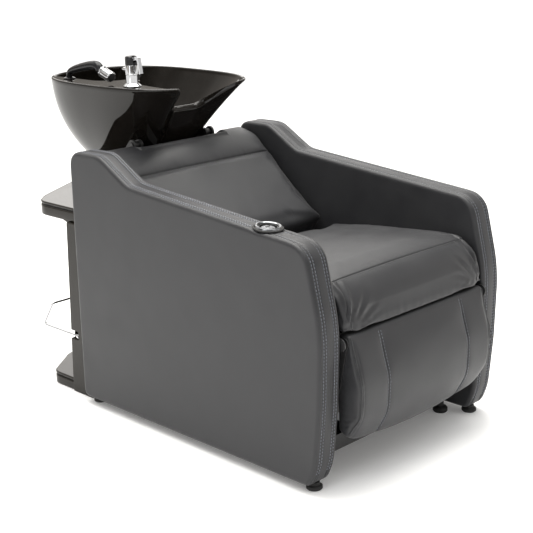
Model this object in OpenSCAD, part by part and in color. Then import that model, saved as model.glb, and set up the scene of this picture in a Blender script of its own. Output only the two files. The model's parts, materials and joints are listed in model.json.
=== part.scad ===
// Salon shampoo backwash unit: an upholstered armchair with a powered legrest, standing in
// front of a gloss pedestal whose column carries a tilting ceramic basin.
// X runs across the seat, the sitter faces -Y and the floor is Z = 0.
// Profiles are drawn as [y, z] with y measured from the arms' rear edge, forward negative.

/* [Overall] */
// Width over both arms
overall_w = 700; // [690:5:720]
// Distance from the arms' rear edge to the origin
arm_rear_y = 274; // [260:1:290]
// Height of the arms' underside above the floor
floor_gap = 20; // [18:1:24]

/* [Arms] */
// Thickness of one upholstered arm
arm_t = 72; // [70:1:76]
// Thickness of the plywood core in each arm
board_t = 18; // [15:1:18]
// Cover and foam between the board's edge and the arm's edge
arm_foam = 24; // [20:1:28]

/* [Seat and back] */
// Gap between a cushion and the arm beside it
cushion_gap = 4; // [3:0.5:6]
// Level of the seat board's top
seat_board_z = 384; // [382:1:386]
// Half the width of the relief in the back's top, where the basin's yoke stands
yoke_relief_w = 165; // [160:1:175]

/* [Legrest] */
// Half the width of the legrest pad
pad_half_w = 258; // [250:1:258]
// Radius of the legrest hinge pins
hinge_pin_r = 5; // [4:0.5:6]

/* [Legrest actuator] */
// Outer radius of the cylinder tube
ram_tube_r = 18; // [17:0.5:20]
// Radius of the rod
ram_rod_r = 8; // [7:0.5:9]
// Length of the slot in the rod end
ram_slot = 40; // [38:1:44]

/* [Pedestal] */
// Half the width of the pedestal
ped_half_w = 320; // [310:1:320]
// Wall thickness of the moulded pedestal
ped_wall = 4; // [3:0.5:6]
// Rear face of the pedestal's upright at its foot
ped_foot = 90; // [86:1:92]
// Rear face of the pedestal's upright at its top
ped_top = 73; // [70:1:76]
// Height of the shelf's top
shelf_z = 543; // [540:1:546]
// Height of the toe box's top
toe_z = 38; // [36:1:42]

/* [Basin] */
// Height of the basin's rim
rim_z = 868; // [866:1:870]
// Half the width of the rim
rim_a = 216.8; // [210:0.2:220]
// Half the length of the rim
rim_b = 300.2; // [295:0.2:302]
// Wall thickness of the ceramic
bowl_wall = 10; // [9:0.5:12]
// Drop of the neck rest below the rim
neck_drop = 68; // [60:1:72]
// How far the neck rest is set back from the rim's outline
neck_dent = 56; // [50:1:58]
// Radius of the drain hole
drain_r = 25; // [22:0.5:28]

/* [Hidden] */

arm_in = overall_w / 2 - arm_t;
arm_mid = overall_w / 2 - 38;
board_in = arm_mid - board_t / 2;
board_out = arm_mid + board_t / 2;

// Corners are [y, z, radius], in order round each outline
arm_outline = [[0, floor_gap, 6], [0, 713, 36], [-124, 715, 70], [-236, 650, 60],
  [-846, 598, 62], [-893, 405, 420], [-887, 215, 420], [-873, 70, 160], [-850, floor_gap, 8]];
seat_outline = [[-312, seat_board_z, 2], [-318, 400, 4], [-372, 457, 12], [-555, 487, 300],
  [-829, 508, 26], [-877, 468, 46], [-901, seat_board_z, 9]];
back_outline = [[-357, 474, 14], [-86, 690, 70], [-4, 706, 18], [-4, 646, 4], [-309, 411, 10]];
pad_outline = [[-868, 380, 5], [-902, 380, 10], [-938, 262, 90], [-934, 180, 60],
  [-893, 114, 14], [-868, 122, 6]];

// Legrest hinge, and the pin that the actuator pushes on
hinge_y = -886;
hinge_z = 361;
push_pin = [-832, 302];
pad_back = -868;
board_rear = pad_back + board_t;
pad_board_z = [175, 350];
// Half the width and the lower edge of the pocket that the rod's end swings into
rod_pocket = [9, 254];

// Actuator: its pivot under the seat, and its line from there to the push pin
ram_pivot = [-613, 330];
ram_len = norm(push_pin - ram_pivot);
ram_dip = atan2(ram_pivot.y - push_pin.y, ram_pivot.x - push_pin.x);
ram_tube_end = 168;

// Frame rails
rail = 40;
rail_z = 45;
rail_top = rail_z + rail;
rail_wall = 3;
rail_fronts = [-800, -160];
long_rail_x = 120;
end_plate = 6;
foot_x = 258;
shelf_under = 502;
wall_tilt = atan2(ped_foot - ped_top, shelf_under - toe_z);
rail_r = 3;
joint_r = 3.5;
rail_x0 = 314;
rail_elbow = [224, 172];
rail_end = [174, 245];
rocker_pivot_z = -4.2;
glide_spots = [[arm_mid, -836], [arm_mid, -27]];
bolt_spots = concat([for (y = rail_fronts) [y + rail / 2, rail_z + rail / 2]],
  [[-700, 375], [-420, 375]]);

// Basin column and tilt axis
tilt_y = -18;
tilt_z = 701;
yoke_x = 145;
yoke_t = 8;
lug_x = 118;
lug_t = 8;
tilt_pin_r = 6;
yoke_base_z = 600;
yoke_base_t = 12;
bowl_base_z = 628;
drain_y = 154;
bolt_hole_x = 125;
bolt_hole_ys = [30, 160];

// Basin form: taper and centre line against depth, as polynomials in t = depth / bowl_depth
bowl_depth = rim_z - bowl_base_z;
bowl_power = 2.7;
bowl_sides = 48;
deck_z = rim_z - 3;
deck_t = 12;
deck_wall = 9;
deck_foot_z = 640;
deck_outline = [[-260, 340, 0], [-132, 340, 20], [-128, 150, 50], [-100, 104, 30],
  [-42, 90, 15], [-42, 58, 15], [-100, 20, 40], [-112, -90, 60], [-104, -240, 20],
  [-260, -240, 0]];
mixer_at = [-150, -36];
hose_at = [-150, 246];
hose_r = 8;

vinyl = [0.27, 0.27, 0.28];
ply = [0.72, 0.58, 0.4];
steel = [0.62, 0.63, 0.65];
black_steel = [0.12, 0.12, 0.13];
gloss_black = [0.04, 0.04, 0.045];
chrome = [0.86, 0.87, 0.88];
black_plastic = [0.08, 0.08, 0.09];
rubber = [0.05, 0.05, 0.05];

// ---- outline helpers ----

function unit(v) = v / norm(v);

// Arc that rounds corner p, between its neighbours a and b
function fillet(a, p, b, r, steps = 6) =
  r == 0 ? [p] :
  let (u = unit(a - p), v = unit(b - p), half = acos(u * v) / 2,
       c = p + unit(u + v) * r / sin(half),
       p0 = p + u * r / tan(half) - c, p1 = p + v * r / tan(half) - c,
       a0 = atan2(p0.y, p0.x), turn = (atan2(p1.y, p1.x) - a0 + 540) % 360 - 180)
  [for (i = [0:steps]) c + r * [cos(a0 + turn * i / steps), sin(a0 + turn * i / steps)]];

function flat2(p) = [p[0], p[1]];

function rounded(pts) = let (n = len(pts))
  [for (i = [0:n - 1])
    each fillet(flat2(pts[(i + n - 1) % n]), flat2(pts[i]), flat2(pts[(i + 1) % n]), pts[i][2])];

module from_arm_rear() { translate([0, arm_rear_y, 0]) children(); }

// Extrudes a [y, z] profile from x0 to x1
module across(x0, x1) { translate([x0, 0, 0]) rotate([90, 0, 90]) linear_extrude(x1 - x0) children(); }

module slab(low, high) { translate(low) cube(high - low); }

module on_side(side) { mirror([side < 0 ? 1 : 0, 0, 0]) children(); }

module both_sides() { for (side = [-1, 1]) on_side(side) children(); }

module rod_x(x0, x1, y, z, r) {
  translate([x0, y, z]) rotate([0, 90, 0]) cylinder(h = x1 - x0, r = r, $fn = 48);
}

// Turns the local Z axis to run from the actuator's pivot towards the push pin
module along_ram() {
  translate([0, ram_pivot.x, ram_pivot.y]) rotate([90 + ram_dip, 0, 0]) children();
}

// ---- arms ----

module arm_core_outline() {
  offset(delta = -arm_foam) polygon(rounded(arm_outline));
  translate([-842, floor_gap]) square([820, 50]);
}

module bolt_holes(r, x0, x1) {
  for (p = bolt_spots) rod_x(x0, x1, p.x, p.y, r);
}

module stud_holes(r, z1) {
  for (p = glide_spots) translate([p.x, p.y, 0]) cylinder(h = z1, r = r, $fn = 32);
}

module switch_place() {
  translate([-arm_mid, -700, 612.2]) rotate([5, 0, 0]) children();
}

module arm(side) {
  color(vinyl) from_arm_rear() difference() {
    on_side(side) difference() {
      across(arm_in, overall_w / 2) polygon(rounded(arm_outline));
      across(board_in, board_out) arm_core_outline();
      bolt_holes(4, arm_in - 1, board_out);
    }
    if (side < 0) switch_place() translate([0, 0, -36]) cylinder(h = 60, r = 28, $fn = 64);
  }
}

module arm_right() { arm(-1); }

module arm_left() { arm(1); }

module arm_board(side) {
  color(ply) from_arm_rear() difference() {
    on_side(side) difference() {
      across(board_in, board_out) arm_core_outline();
      bolt_holes(4, board_in - 1, board_out + 1);
      stud_holes(4, 60);
    }
    if (side < 0) switch_place() translate([0, 0, -36]) cylinder(h = 60, r = 28, $fn = 64);
  }
}

module arm_board_right() { arm_board(-1); }

module arm_board_left() { arm_board(1); }

// ---- seat and back ----

module seat_cushion() {
  color(vinyl) from_arm_rear()
    across(-arm_in + cushion_gap, arm_in - cushion_gap) polygon(rounded(seat_outline));
}

module seat_board() {
  color(ply) from_arm_rear() difference() {
    slab([-arm_in, -843, seat_board_z - board_t], [arm_in, -306, seat_board_z]);
    both_sides() for (y = [-700, -420])
      slab([arm_in - 20, y - 12, seat_board_z - board_t - 1], [arm_in + 1, y + 12, seat_board_z - 2]);
  }
}

module backrest_cushion() {
  color(vinyl) from_arm_rear() difference() {
    across(-arm_in + cushion_gap, arm_in - cushion_gap) polygon(rounded(back_outline));
    slab([-yoke_relief_w, -58, 560], [yoke_relief_w, 10, 720]);
  }
}

module backrest_board() {
  color(ply) from_arm_rear() difference() {
    across(-arm_in, arm_in) polygon([[-309, 410.9], [-4, 645.9], [-4, 627], [-300, 399]]);
    slab([-yoke_relief_w, -58, 560], [yoke_relief_w, 10, 720]);
  }
}

module back_panel() {
  color(vinyl) from_arm_rear()
    across(-arm_in, arm_in) polygon(rounded([[-18, 60, 3], [-1, 60, 3], [-1, 592, 3], [-18, 592, 3]]));
}

// ---- base frame ----

// Cross rail, a box tube with an end plate that the arm bolts to
module cross_rail(y0) {
  difference() {
    slab([-arm_in, y0, rail_z], [arm_in, y0 + rail, rail_top]);
    slab([end_plate - arm_in, y0 + rail_wall, rail_z + rail_wall],
      [arm_in - end_plate, y0 + rail - rail_wall, rail_top - rail_wall]);
    both_sides() {
      bolt_holes(4, arm_in - end_plate - 1, arm_in + 1);
      translate([foot_x, y0 + rail / 2, 0]) cylinder(h = rail_z + rail_wall + 1, r = 4, $fn = 32);
    }
  }
}

module long_rail() {
  difference() {
    slab([long_rail_x, rail_fronts[0] + rail, rail_z], [long_rail_x + rail, rail_fronts[1], rail_top]);
    slab([long_rail_x + rail_wall, rail_fronts[0], rail_z + rail_wall],
      [long_rail_x + rail - rail_wall, 0, rail_top - rail_wall]);
  }
}

module base_rails() {
  color(black_steel) from_arm_rear() {
    for (y = rail_fronts) cross_rail(y);
    both_sides() long_rail();
  }
}

module foot(h) {
  rotate_extrude($fn = 48) polygon([[0, 0], [18, 0], [20, 3], [20, h - 6], [12, h], [0, h]]);
}

module frame_feet() {
  color(rubber) from_arm_rear() for (side = [-1, 1], y = rail_fronts)
    translate([side * foot_x, y + rail / 2, 0]) foot(rail_z);
}

module glide_feet() {
  color(rubber) from_arm_rear() both_sides() for (p = glide_spots)
    translate([p.x, p.y, 0]) foot(floor_gap);
}

module glide_studs() {
  color(steel) from_arm_rear() both_sides() {
    for (p = glide_spots) translate([p.x, p.y, floor_gap]) cylinder(h = 38, r = 4, $fn = 32);
    for (y = rail_fronts)
      translate([foot_x, y + rail / 2, rail_z]) cylinder(h = 14, r = 4, $fn = 32);
  }
}

module panel_bolts() {
  color(steel) from_arm_rear() both_sides() for (p = bolt_spots) {
    rod_x(arm_in - 6, board_out, p.x, p.y, 4);
    rod_x(arm_in - 11, arm_in - 6, p.x, p.y, 7);
  }
}

// ---- legrest hinge ----

module hinge_bracket(side) {
  color(black_steel) from_arm_rear() on_side(side) difference() {
    union() {
      rod_x(arm_in - 4, arm_in, hinge_y, hinge_z, 16);
      slab([arm_in - 4, hinge_y, hinge_z - 16], [arm_in, -770, hinge_z + 3]);
    }
    rod_x(arm_in - 5, arm_in + 1, hinge_y, hinge_z, hinge_pin_r);
    for (y = [-845, -790]) rod_x(arm_in - 5, arm_in + 1, y, hinge_z - 7, 3);
  }
}

module hinge_bracket_right() { hinge_bracket(-1); }

module hinge_bracket_left() { hinge_bracket(1); }

module hinge_pins() {
  color(black_steel) from_arm_rear() both_sides() {
    rod_x(pad_half_w + 1, arm_in, hinge_y, hinge_z, hinge_pin_r);
    for (y = [-845, -790]) rod_x(arm_in - 4, arm_in, y, hinge_z - 7, 3);
  }
}

// ---- legrest ----

module legrest_pad() {
  color(vinyl) from_arm_rear() across(-pad_half_w, pad_half_w) polygon(rounded(pad_outline));
}

module legrest_board() {
  color(ply) from_arm_rear() difference() {
    slab([-pad_half_w + 16, pad_back, pad_board_z[0]], [pad_half_w - 16, board_rear, pad_board_z[1]]);
    slab([-rod_pocket.x, pad_back - 1, rod_pocket.y],
      [rod_pocket.x, board_rear + 1, pad_board_z[1] + 1]);
  }
}

module legrest_bracket(side) {
  color(black_steel) from_arm_rear() on_side(side) {
    difference() {
      union() {
        rod_x(pad_half_w + 3, pad_half_w + 7, hinge_y, hinge_z, 14);
        across(pad_half_w + 3, pad_half_w + 7)
          polygon([[-896, 352], [-876, 371], [-842, 350], [-842, 200], [-864, 200]]);
      }
      rod_x(pad_half_w, pad_half_w + 10, hinge_y, hinge_z, hinge_pin_r + 0.05);
    }
    slab([pad_half_w - 40, board_rear, 205], [pad_half_w + 3, board_rear + 4, 340]);
  }
}

module legrest_bracket_right() { legrest_bracket(-1); }

module legrest_bracket_left() { legrest_bracket(1); }

module push_bracket() {
  color(black_steel) from_arm_rear() {
    both_sides() {
      across(10, 14) polygon(rounded([[board_rear, 340, 2], [-834, 316, 8], [-822, 302, 9],
        [-834, 288, 8], [board_rear, 264, 2]]));
      slab([14, board_rear, 264], [44, board_rear + 4, 340]);
    }
    rod_x(-14, 14, push_pin.x, push_pin.y, 5);
  }
}

// ---- actuator ----

module actuator_mount() {
  color(steel) from_arm_rear() {
    slab([-45, -640, 362], [45, -586, seat_board_z - board_t]);
    both_sides() difference() {
      union() {
        slab([22, -631, 330], [27, -595, 362]);
        rod_x(22, 27, ram_pivot.x, ram_pivot.y, 18);
      }
      rod_x(20, 30, ram_pivot.x, ram_pivot.y, 5.05);
    }
  }
}

module actuator_cylinder() {
  color(black_steel) from_arm_rear() {
    along_ram() difference() {
      union() {
        translate([0, 0, 12]) cylinder(h = ram_tube_end - 12, r = ram_tube_r, $fn = 64);
        slab([-11, -11, 0], [11, 11, 14]);
      }
      translate([0, 0, 22]) cylinder(h = ram_tube_end, r = ram_rod_r + 0.1, $fn = 64);
    }
    rod_x(-28, 28, ram_pivot.x, ram_pivot.y, 5);
    rod_x(-14, 14, ram_pivot.x, ram_pivot.y, 13);
  }
}

module actuator_motor() {
  color(black_plastic) from_arm_rear() along_ram() {
    slab([-20, -ram_tube_r - 42, 34], [20, -ram_tube_r, 60]);
    translate([0, -ram_tube_r - 21, 60]) cylinder(h = 70, r = 19, $fn = 64);
  }
}

module actuator_rod() {
  color(chrome) from_arm_rear() along_ram() difference() {
    union() {
      translate([0, 0, 26]) cylinder(h = ram_len - 40, r = ram_rod_r, $fn = 64);
      slab([-7, -ram_slot / 2 - 5, ram_len - 16], [7, ram_slot / 2 + 5, ram_len + 12]);
    }
    hull() for (s = [-1, 1])
      translate([-8, s * (ram_slot / 2 - 6), ram_len]) rotate([0, 90, 0]) cylinder(h = 16, r = 7, $fn = 32);
  }
}

module control_box() {
  color(black_plastic) from_arm_rear()
    across(-85, 85)
      polygon(rounded([[-172, rail_top, 2], [-108, rail_top, 2], [-108, 138, 6], [-172, 138, 6]]));
}

module power_inlet() {
  color(black_plastic) from_arm_rear() difference() {
    slab([-65, -108, 96], [-35, -94, 122]);
    slab([-61, -104, 100], [-39, -93, 118]);
  }
}

// ---- arm switch ----

module switch_bezel() {
  color(chrome) from_arm_rear() switch_place()
    rotate_extrude($fn = 96)
      polygon([[24, -1], [28, -1], [28, 0], [34, 0], [34, 3], [31, 6.5], [27, 7], [24, 5]]);
}

module switch_housing() {
  color(black_plastic) from_arm_rear() switch_place() rotate_extrude($fn = 64)
    polygon([[0, -36], [28, -36], [28, -1], [24, -1], [24, 3], [21, 3], [21, -12], [0, -12]]);
}

module switch_rocker() {
  color(chrome) from_arm_rear() switch_place() {
    translate([0, 0, -8]) intersection() {
      cylinder(h = 12, r = 18, $fn = 64);
      translate([0, 0, -38]) sphere(r = 50, $fn = 96);
      translate([0, 0, 60]) rotate([0, 90, 0]) cylinder(h = 60, r = 60, center = true, $fn = 180);
    }
    rod_x(-20.5, 20.5, 0, rocker_pivot_z, 2);
  }
}

// ---- pedestal ----

// Plan outlines behind the upright, as corners [x, y, radius]
shelf_outline = [[-310, 2, 0], [-310, 208, 60], [-262, 252, 120], [0, 400, 260], [262, 252, 120],
  [310, 208, 60], [310, 2, 0]];
toe_outline = [[-316, ped_foot, 0], [-316, 186, 40], [-196, 276, 60], [196, 276, 60],
  [316, 186, 40], [316, ped_foot, 0]];
screw_spots = [for (x = [-136, 136], z = [70, 396]) [x, z]];

module plumbing_hole(z0, z1) { slab([-90, 16, z0], [90, 206, z1]); }

// Local X across, Z up the upright's sloping rear face and Y out of it, from the toe's top
module on_upright() {
  translate([0, ped_foot, toe_z]) rotate([wall_tilt, 0, 0]) children();
}

module upright_profile(wall) {
  polygon([[wall == 0 ? 1 : 0, -wall], [ped_foot - wall, -wall], [ped_foot - wall, toe_z],
    [ped_top - wall, shelf_under - wall], [wall == 0 ? 1 : 0, shelf_under - wall]]);
}

module pedestal_body() {
  color(gloss_black) from_arm_rear() difference() {
    across(-ped_half_w, ped_half_w) upright_profile(0);
    across(ped_wall - ped_half_w, ped_half_w - ped_wall) upright_profile(ped_wall);
    on_upright() slab([-130, -20, 75], [130, 20, 391]);
    slab([-160, 0, -1], [160, ped_foot + 1, 10]);
    plumbing_hole(shelf_under - 20, shelf_under + 20);
    both_sides()
      slab([rail_x0 - 6, 52, rail_elbow.y - 9], [ped_half_w + 1, ped_foot + 1, rail_elbow.y + 15]);
  }
}

module shelf_body() {
  color(gloss_black) from_arm_rear() difference() {
    union() {
      translate([0, 0, shelf_under]) linear_extrude(533 - shelf_under) polygon(rounded(shelf_outline));
      difference() {
        slab([-310, ped_top + 1, shelf_under - 25], [310, ped_top + 26, shelf_under]);
        rod_x(-311, 311, ped_top + 26, shelf_under - 25, 25);
      }
    }
    translate([0, 0, shelf_under + 4]) linear_extrude(40)
      offset(delta = -5) polygon(rounded(shelf_outline));
    plumbing_hole(shelf_under - 20, shelf_under + 20);
  }
}

// Glossy top panel, standing proud of a shadow gap round its underside
module top_panel(outline, z0, z1) {
  difference() {
    translate([0, 0, z0]) linear_extrude(z1 - z0) polygon(rounded(outline));
    translate([0, 0, z0 - 1]) linear_extrude(4) difference() {
      offset(delta = 2) polygon(rounded(outline));
      offset(delta = -4) polygon(rounded(outline));
    }
  }
}

module shelf_panel() {
  color(gloss_black) from_arm_rear() difference() {
    top_panel(shelf_outline, 533, shelf_z);
    plumbing_hole(530, 550);
  }
}

module toe_body() {
  color(gloss_black) from_arm_rear() difference() {
    linear_extrude(27) polygon(rounded(toe_outline));
    translate([0, 0, -1]) linear_extrude(25) offset(delta = -5) polygon(rounded(toe_outline));
    slab([-160, ped_foot - 1, -1], [160, ped_foot + 6, 10]);
  }
}

module toe_panel() { color(gloss_black) from_arm_rear() top_panel(toe_outline, 27, toe_z); }

module access_panel() {
  color(gloss_black) from_arm_rear() on_upright() difference() {
    translate([0, 3, 0]) rotate([90, 0, 0]) linear_extrude(3)
      polygon(rounded([[-146, 60, 12], [146, 60, 12], [146, 406, 12], [-146, 406, 12]]));
    for (p = screw_spots)
      translate([p.x, -1, p.y]) rotate([-90, 0, 0]) cylinder(h = 6, r = 2.5, $fn = 24);
  }
}

module panel_screws() {
  color(chrome) from_arm_rear() on_upright() for (p = screw_spots)
    translate([p.x, 0, p.y]) rotate([-90, 0, 0])
      rotate_extrude($fn = 32) polygon([[0, 0], [2.5, 0], [2.5, 3], [5, 3], [4, 5.4], [0, 6]]);
}

// ---- column and tilt ----

module support_column() {
  color(steel) from_arm_rear() {
    difference() {
      slab([-150, 10, 0], [150, 182, 8]);
      for (x = [-bolt_hole_x, bolt_hole_x], y = bolt_hole_ys)
        translate([x, y, -1]) cylinder(h = 10, r = 6.5, $fn = 48);
    }
    difference() {
      slab([-40, 18, 8], [40, 66, yoke_base_z]);
      slab([-36, 22, 7], [36, 62, yoke_base_z + 1]);
    }
  }
}

module column_cover() {
  color(gloss_black) from_arm_rear() difference() {
    across(-100, 100)
      polygon([[8, shelf_z], [215, shelf_z], [205, yoke_base_z - 2], [12, yoke_base_z - 2]]);
    across(-96, 96) polygon([[12, shelf_z - 1], [211, shelf_z - 1], [201, yoke_base_z], [16, yoke_base_z]]);
  }
}

module tilt_yoke() {
  color(black_steel) from_arm_rear() {
    slab([-yoke_x - yoke_t / 2, -34, yoke_base_z], [yoke_x + yoke_t / 2, 78, yoke_base_z + yoke_base_t]);
    both_sides() difference() {
      hull() {
        rod_x(yoke_x - yoke_t / 2, yoke_x + yoke_t / 2, tilt_y, tilt_z, 16);
        slab([yoke_x - yoke_t / 2, -34, yoke_base_z], [yoke_x + yoke_t / 2, 78, yoke_base_z + yoke_base_t]);
      }
      rod_x(yoke_x - 10, yoke_x + 10, tilt_y, tilt_z, tilt_pin_r);
    }
  }
}

module tilt_pins() {
  color(black_steel) from_arm_rear() both_sides() {
    rod_x(lug_x - 2, yoke_x + yoke_t / 2, tilt_y, tilt_z, tilt_pin_r);
    rod_x(yoke_x + yoke_t / 2, yoke_x + yoke_t / 2 + 4, tilt_y, tilt_z, 9);
  }
}

module tilt_bushes() {
  color(black_plastic) from_arm_rear() both_sides() difference() {
    rod_x(lug_x + lug_t + 0.3, yoke_x - yoke_t / 2, tilt_y, tilt_z, 10);
    rod_x(lug_x, yoke_x, tilt_y, tilt_z, tilt_pin_r);
  }
}

module stop_pads() {
  color(rubber) from_arm_rear() both_sides()
    translate([60, 58, yoke_base_z + yoke_base_t]) cylinder(h = 3.7, r = 12, $fn = 48);
}

// ---- towel rail ----

module rail_leg(from, to) {
  d = to - from;
  translate([rail_x0, from.x, from.y]) rotate([atan2(-d.x, d.y), 0, 0])
    cylinder(h = norm(d), r = rail_r, $fn = 32);
}

module towel_rail() {
  color(chrome) from_arm_rear() {
    both_sides() {
      rail_leg([64, rail_elbow.y], rail_elbow);
      rail_leg(rail_elbow, rail_end);
      for (p = [rail_elbow, rail_end]) translate([rail_x0, p.x, p.y]) sphere(r = joint_r, $fn = 32);
    }
    rod_x(-rail_x0, rail_x0, rail_end.x, rail_end.y, rail_r);
  }
}

module rail_bosses() {
  color(chrome) from_arm_rear() both_sides()
    translate([rail_x0, 52, rail_elbow.y]) rotate([-90, 0, 0]) cylinder(h = 12, r = 7, $fn = 48);
}

// ---- basin ----

function bowl_scale(t) = 1 - 0.42 * t + 0.042 * t * t - 0.161 * t * t * t;

function bowl_mid(t) = 77.9 + 179.8 * t - 103.7 * t * t;

function smooth(k) = let (c = min(1, max(0, k))) c * c * (3 - 2 * c);

// How far a point at x lies within the neck rest, 1 at its middle and 0 at the horns
function neck(x) = smooth((125 - abs(x)) / 75);

function rounded_power(c) = sign(c) * pow(abs(c), 2 / bowl_power);

// Point of the basin's surface at one angle, v of the way from the rim down to z1
function bowl_point(angle, v, inset, z1) =
  let (c = rounded_power(cos(angle)), s = rounded_power(sin(angle)),
       near_neck = s < 0 ? neck(rim_a * c) : 0,
       z0 = rim_z - neck_drop * near_neck, z = z0 + (z1 - z0) * v,
       t = (rim_z - z) / bowl_depth, k = bowl_scale(t),
       lip = inset * (1 + 1.6 * near_neck * max(0, 1 - 4 * v)),
       dent = neck_dent * near_neck * max(0, 1 - pow(t / 0.75, 2)))
  [(rim_a * k - lip) * c, bowl_mid(t) + (rim_b * k - lip) * s + dent, z];

// Closed solid from rings of points, each ring a list with the same count, bottom ring first
module ring_solid(rings) {
  n = len(rings[0]);
  m = len(rings);
  polyhedron(
    points = [for (r = rings) each r],
    faces = concat(
      [for (j = [0:m - 2], i = [0:n - 1]) [j * n + i, (j + 1) * n + i, (j + 1) * n + (i + 1) % n]],
      [for (j = [0:m - 2], i = [0:n - 1]) [j * n + i, (j + 1) * n + (i + 1) % n, j * n + (i + 1) % n]],
      [[for (i = [0:n - 1]) i]],
      [[for (i = [n - 1:-1:0]) (m - 1) * n + i]]));
}

function bowl_ring(v, inset, z1) =
  [for (i = [0:bowl_sides - 1]) bowl_point(360 * i / bowl_sides, v, inset, z1)];

// Rings up the outside and down the inside
module bowl_shell() {
  ring_solid(concat(
    [for (k = [7:-1:0]) bowl_ring(k / 7, 0, bowl_base_z)],
    [for (k = [0:7]) bowl_ring(k / 7, bowl_wall, bowl_base_z + 12)]));
}

// The space inside the shell, less a margin, closed over the top below the neck rest
module bowl_room(margin, top) {
  ring_solid(
    [for (z = [bowl_base_z + 16, 680, 720, 760, 800, 830, top])
      let (t = (rim_z - z) / bowl_depth, k = bowl_scale(t))
      [for (i = [0:bowl_sides - 1])
        let (angle = 360 * i / bowl_sides, c = rounded_power(cos(angle)), s = rounded_power(sin(angle)))
        [(rim_a * k - margin) * c, bowl_mid(t) + (rim_b * k - margin) * s, z]]]);
}

module deck() {
  difference() {
    intersection() {
      translate([0, 0, deck_foot_z]) linear_extrude(deck_z - deck_foot_z)
        polygon(rounded(deck_outline));
      bowl_room(bowl_wall - 4, deck_z);
    }
    intersection() {
      translate([0, 0, deck_foot_z]) linear_extrude(deck_z - deck_t - deck_foot_z)
        offset(delta = -deck_wall) polygon(rounded(deck_outline));
      bowl_room(bowl_wall - 1, deck_z - deck_t + 1);
    }
  }
}

module bowl() {
  color(gloss_black) from_arm_rear() difference() {
    union() {
      bowl_shell();
      deck();
    }
    translate([0, drain_y, bowl_base_z - 1]) cylinder(h = 20, r = drain_r, $fn = 64);
    translate([mixer_at.x, mixer_at.y, 840]) cylinder(h = 40, r = 16, $fn = 64);
    translate([hose_at.x, hose_at.y, 840]) cylinder(h = 40, r = 14, $fn = 64);
  }
}

module bowl_saddle() {
  color(black_steel) from_arm_rear() {
    difference() {
      union() {
        slab([-lug_x - lug_t, 44, 616], [lug_x + lug_t, 92, bowl_base_z]);
        slab([-70, 44, 616], [70, 240, bowl_base_z]);
      }
      translate([0, drain_y, 600]) cylinder(h = 40, r = 36, $fn = 64);
    }
    both_sides() difference() {
      hull() {
        rod_x(lug_x, lug_x + lug_t, tilt_y, tilt_z, 14);
        slab([lug_x, 56, 616], [lug_x + lug_t, 92, bowl_base_z]);
      }
      rod_x(lug_x - 2, lug_x + lug_t + 2, tilt_y, tilt_z, tilt_pin_r + 0.05);
    }
  }
}

module drain_flange() {
  color(chrome) from_arm_rear() translate([0, drain_y, bowl_base_z]) rotate_extrude($fn = 64)
    polygon([[17, -2], [drain_r, -2], [drain_r, 12], [34, 12], [33, 14], [30, 15.5], [24, 15],
      [drain_r - 4, 12], [drain_r - 4, 7.7], [17, 7.7]]);
}

module drain_tailpiece() {
  color(chrome) from_arm_rear() translate([0, drain_y, 0]) difference() {
    union() {
      translate([0, 0, 586]) cylinder(h = bowl_base_z - 2 - 586, r = 20, $fn = 64);
      translate([0, 0, 616]) cylinder(h = 12, r = 32, $fn = 6);
      translate([0, 0, 620]) cylinder(h = 8, r = drain_r + 4, $fn = 64);
    }
    translate([0, 0, 580]) cylinder(h = 60, r = 17, $fn = 64);
    translate([0, 0, 624]) cylinder(h = 6, r = drain_r, $fn = 64);
  }
}

module drain_strainer() {
  color(chrome) from_arm_rear() translate([0, drain_y, bowl_base_z]) difference() {
    union() {
      translate([0, 0, 8]) cylinder(h = 3, r = drain_r - 4.3, $fn = 64);
      translate([0, 0, 11]) cylinder(h = 12, r = 3, $fn = 32);
      translate([0, 0, 25]) sphere(r = 5, $fn = 32);
    }
    for (i = [0:9]) rotate(i * 36) translate([13, 0, 7]) cylinder(h = 5, r = 2.2, $fn = 24);
  }
}

module at_mixer() { translate([mixer_at.x, mixer_at.y, deck_z]) children(); }

module mixer_body() {
  color(chrome) from_arm_rear() at_mixer() {
    rotate_extrude($fn = 64) polygon([[0, 0], [25, 0], [25, 3], [20, 7], [17, 10], [17, 58], [0, 58]]);
    translate([0, 0, -deck_t - 10]) cylinder(h = deck_t + 10, r = 15.9, $fn = 64);
    translate([0, 0, 45]) rotate([-90, 0, 0]) cylinder(h = 32, r = 6, $fn = 48);
  }
}

module mixer_nut() {
  color(steel) from_arm_rear() at_mixer() translate([0, 0, -deck_t - 8]) difference() {
    cylinder(h = 8, r = 24, $fn = 6);
    translate([0, 0, -1]) cylinder(h = 10, r = 15.9, $fn = 64);
  }
}

lever_pin = [-12, 74];

module mixer_cap() {
  color(black_plastic) from_arm_rear() at_mixer() {
    difference() {
      rotate_extrude($fn = 64) polygon([[0, 58.3], [17, 58.3], [17, 78], [14, 82], [0, 84]]);
      slab([-6.3, -20, 66], [6.3, -4.5, 90]);
      rod_x(-20, 20, lever_pin.x, lever_pin.y, 2);
    }
    rod_x(-12, 12, lever_pin.x, lever_pin.y, 2);
  }
}

module mixer_lever() {
  color(chrome) from_arm_rear() at_mixer() difference() {
    union() {
      rod_x(-6, 6, lever_pin.x, lever_pin.y, 5.5);
      across(-5, 5) polygon(rounded([[lever_pin.x + 2, 80, 2], [-34, 83, 8], [-42, 36, 3], [-36, 35, 3],
        [-29, 74, 5], [lever_pin.x, 70, 2]]));
    }
    rod_x(-20, 20, lever_pin.x, lever_pin.y, 2.05);
  }
}

// ---- hand shower ----

// Spine of the handle as [y, z, radius], from the hose hole forward to the head
grip_spine = [[246, 877, 9], [242, 889, 10], [212, 905, 12], [172, 914, 13], [128, 919, 13],
  [108, 915, 13], [103, 901, 12]];
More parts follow.
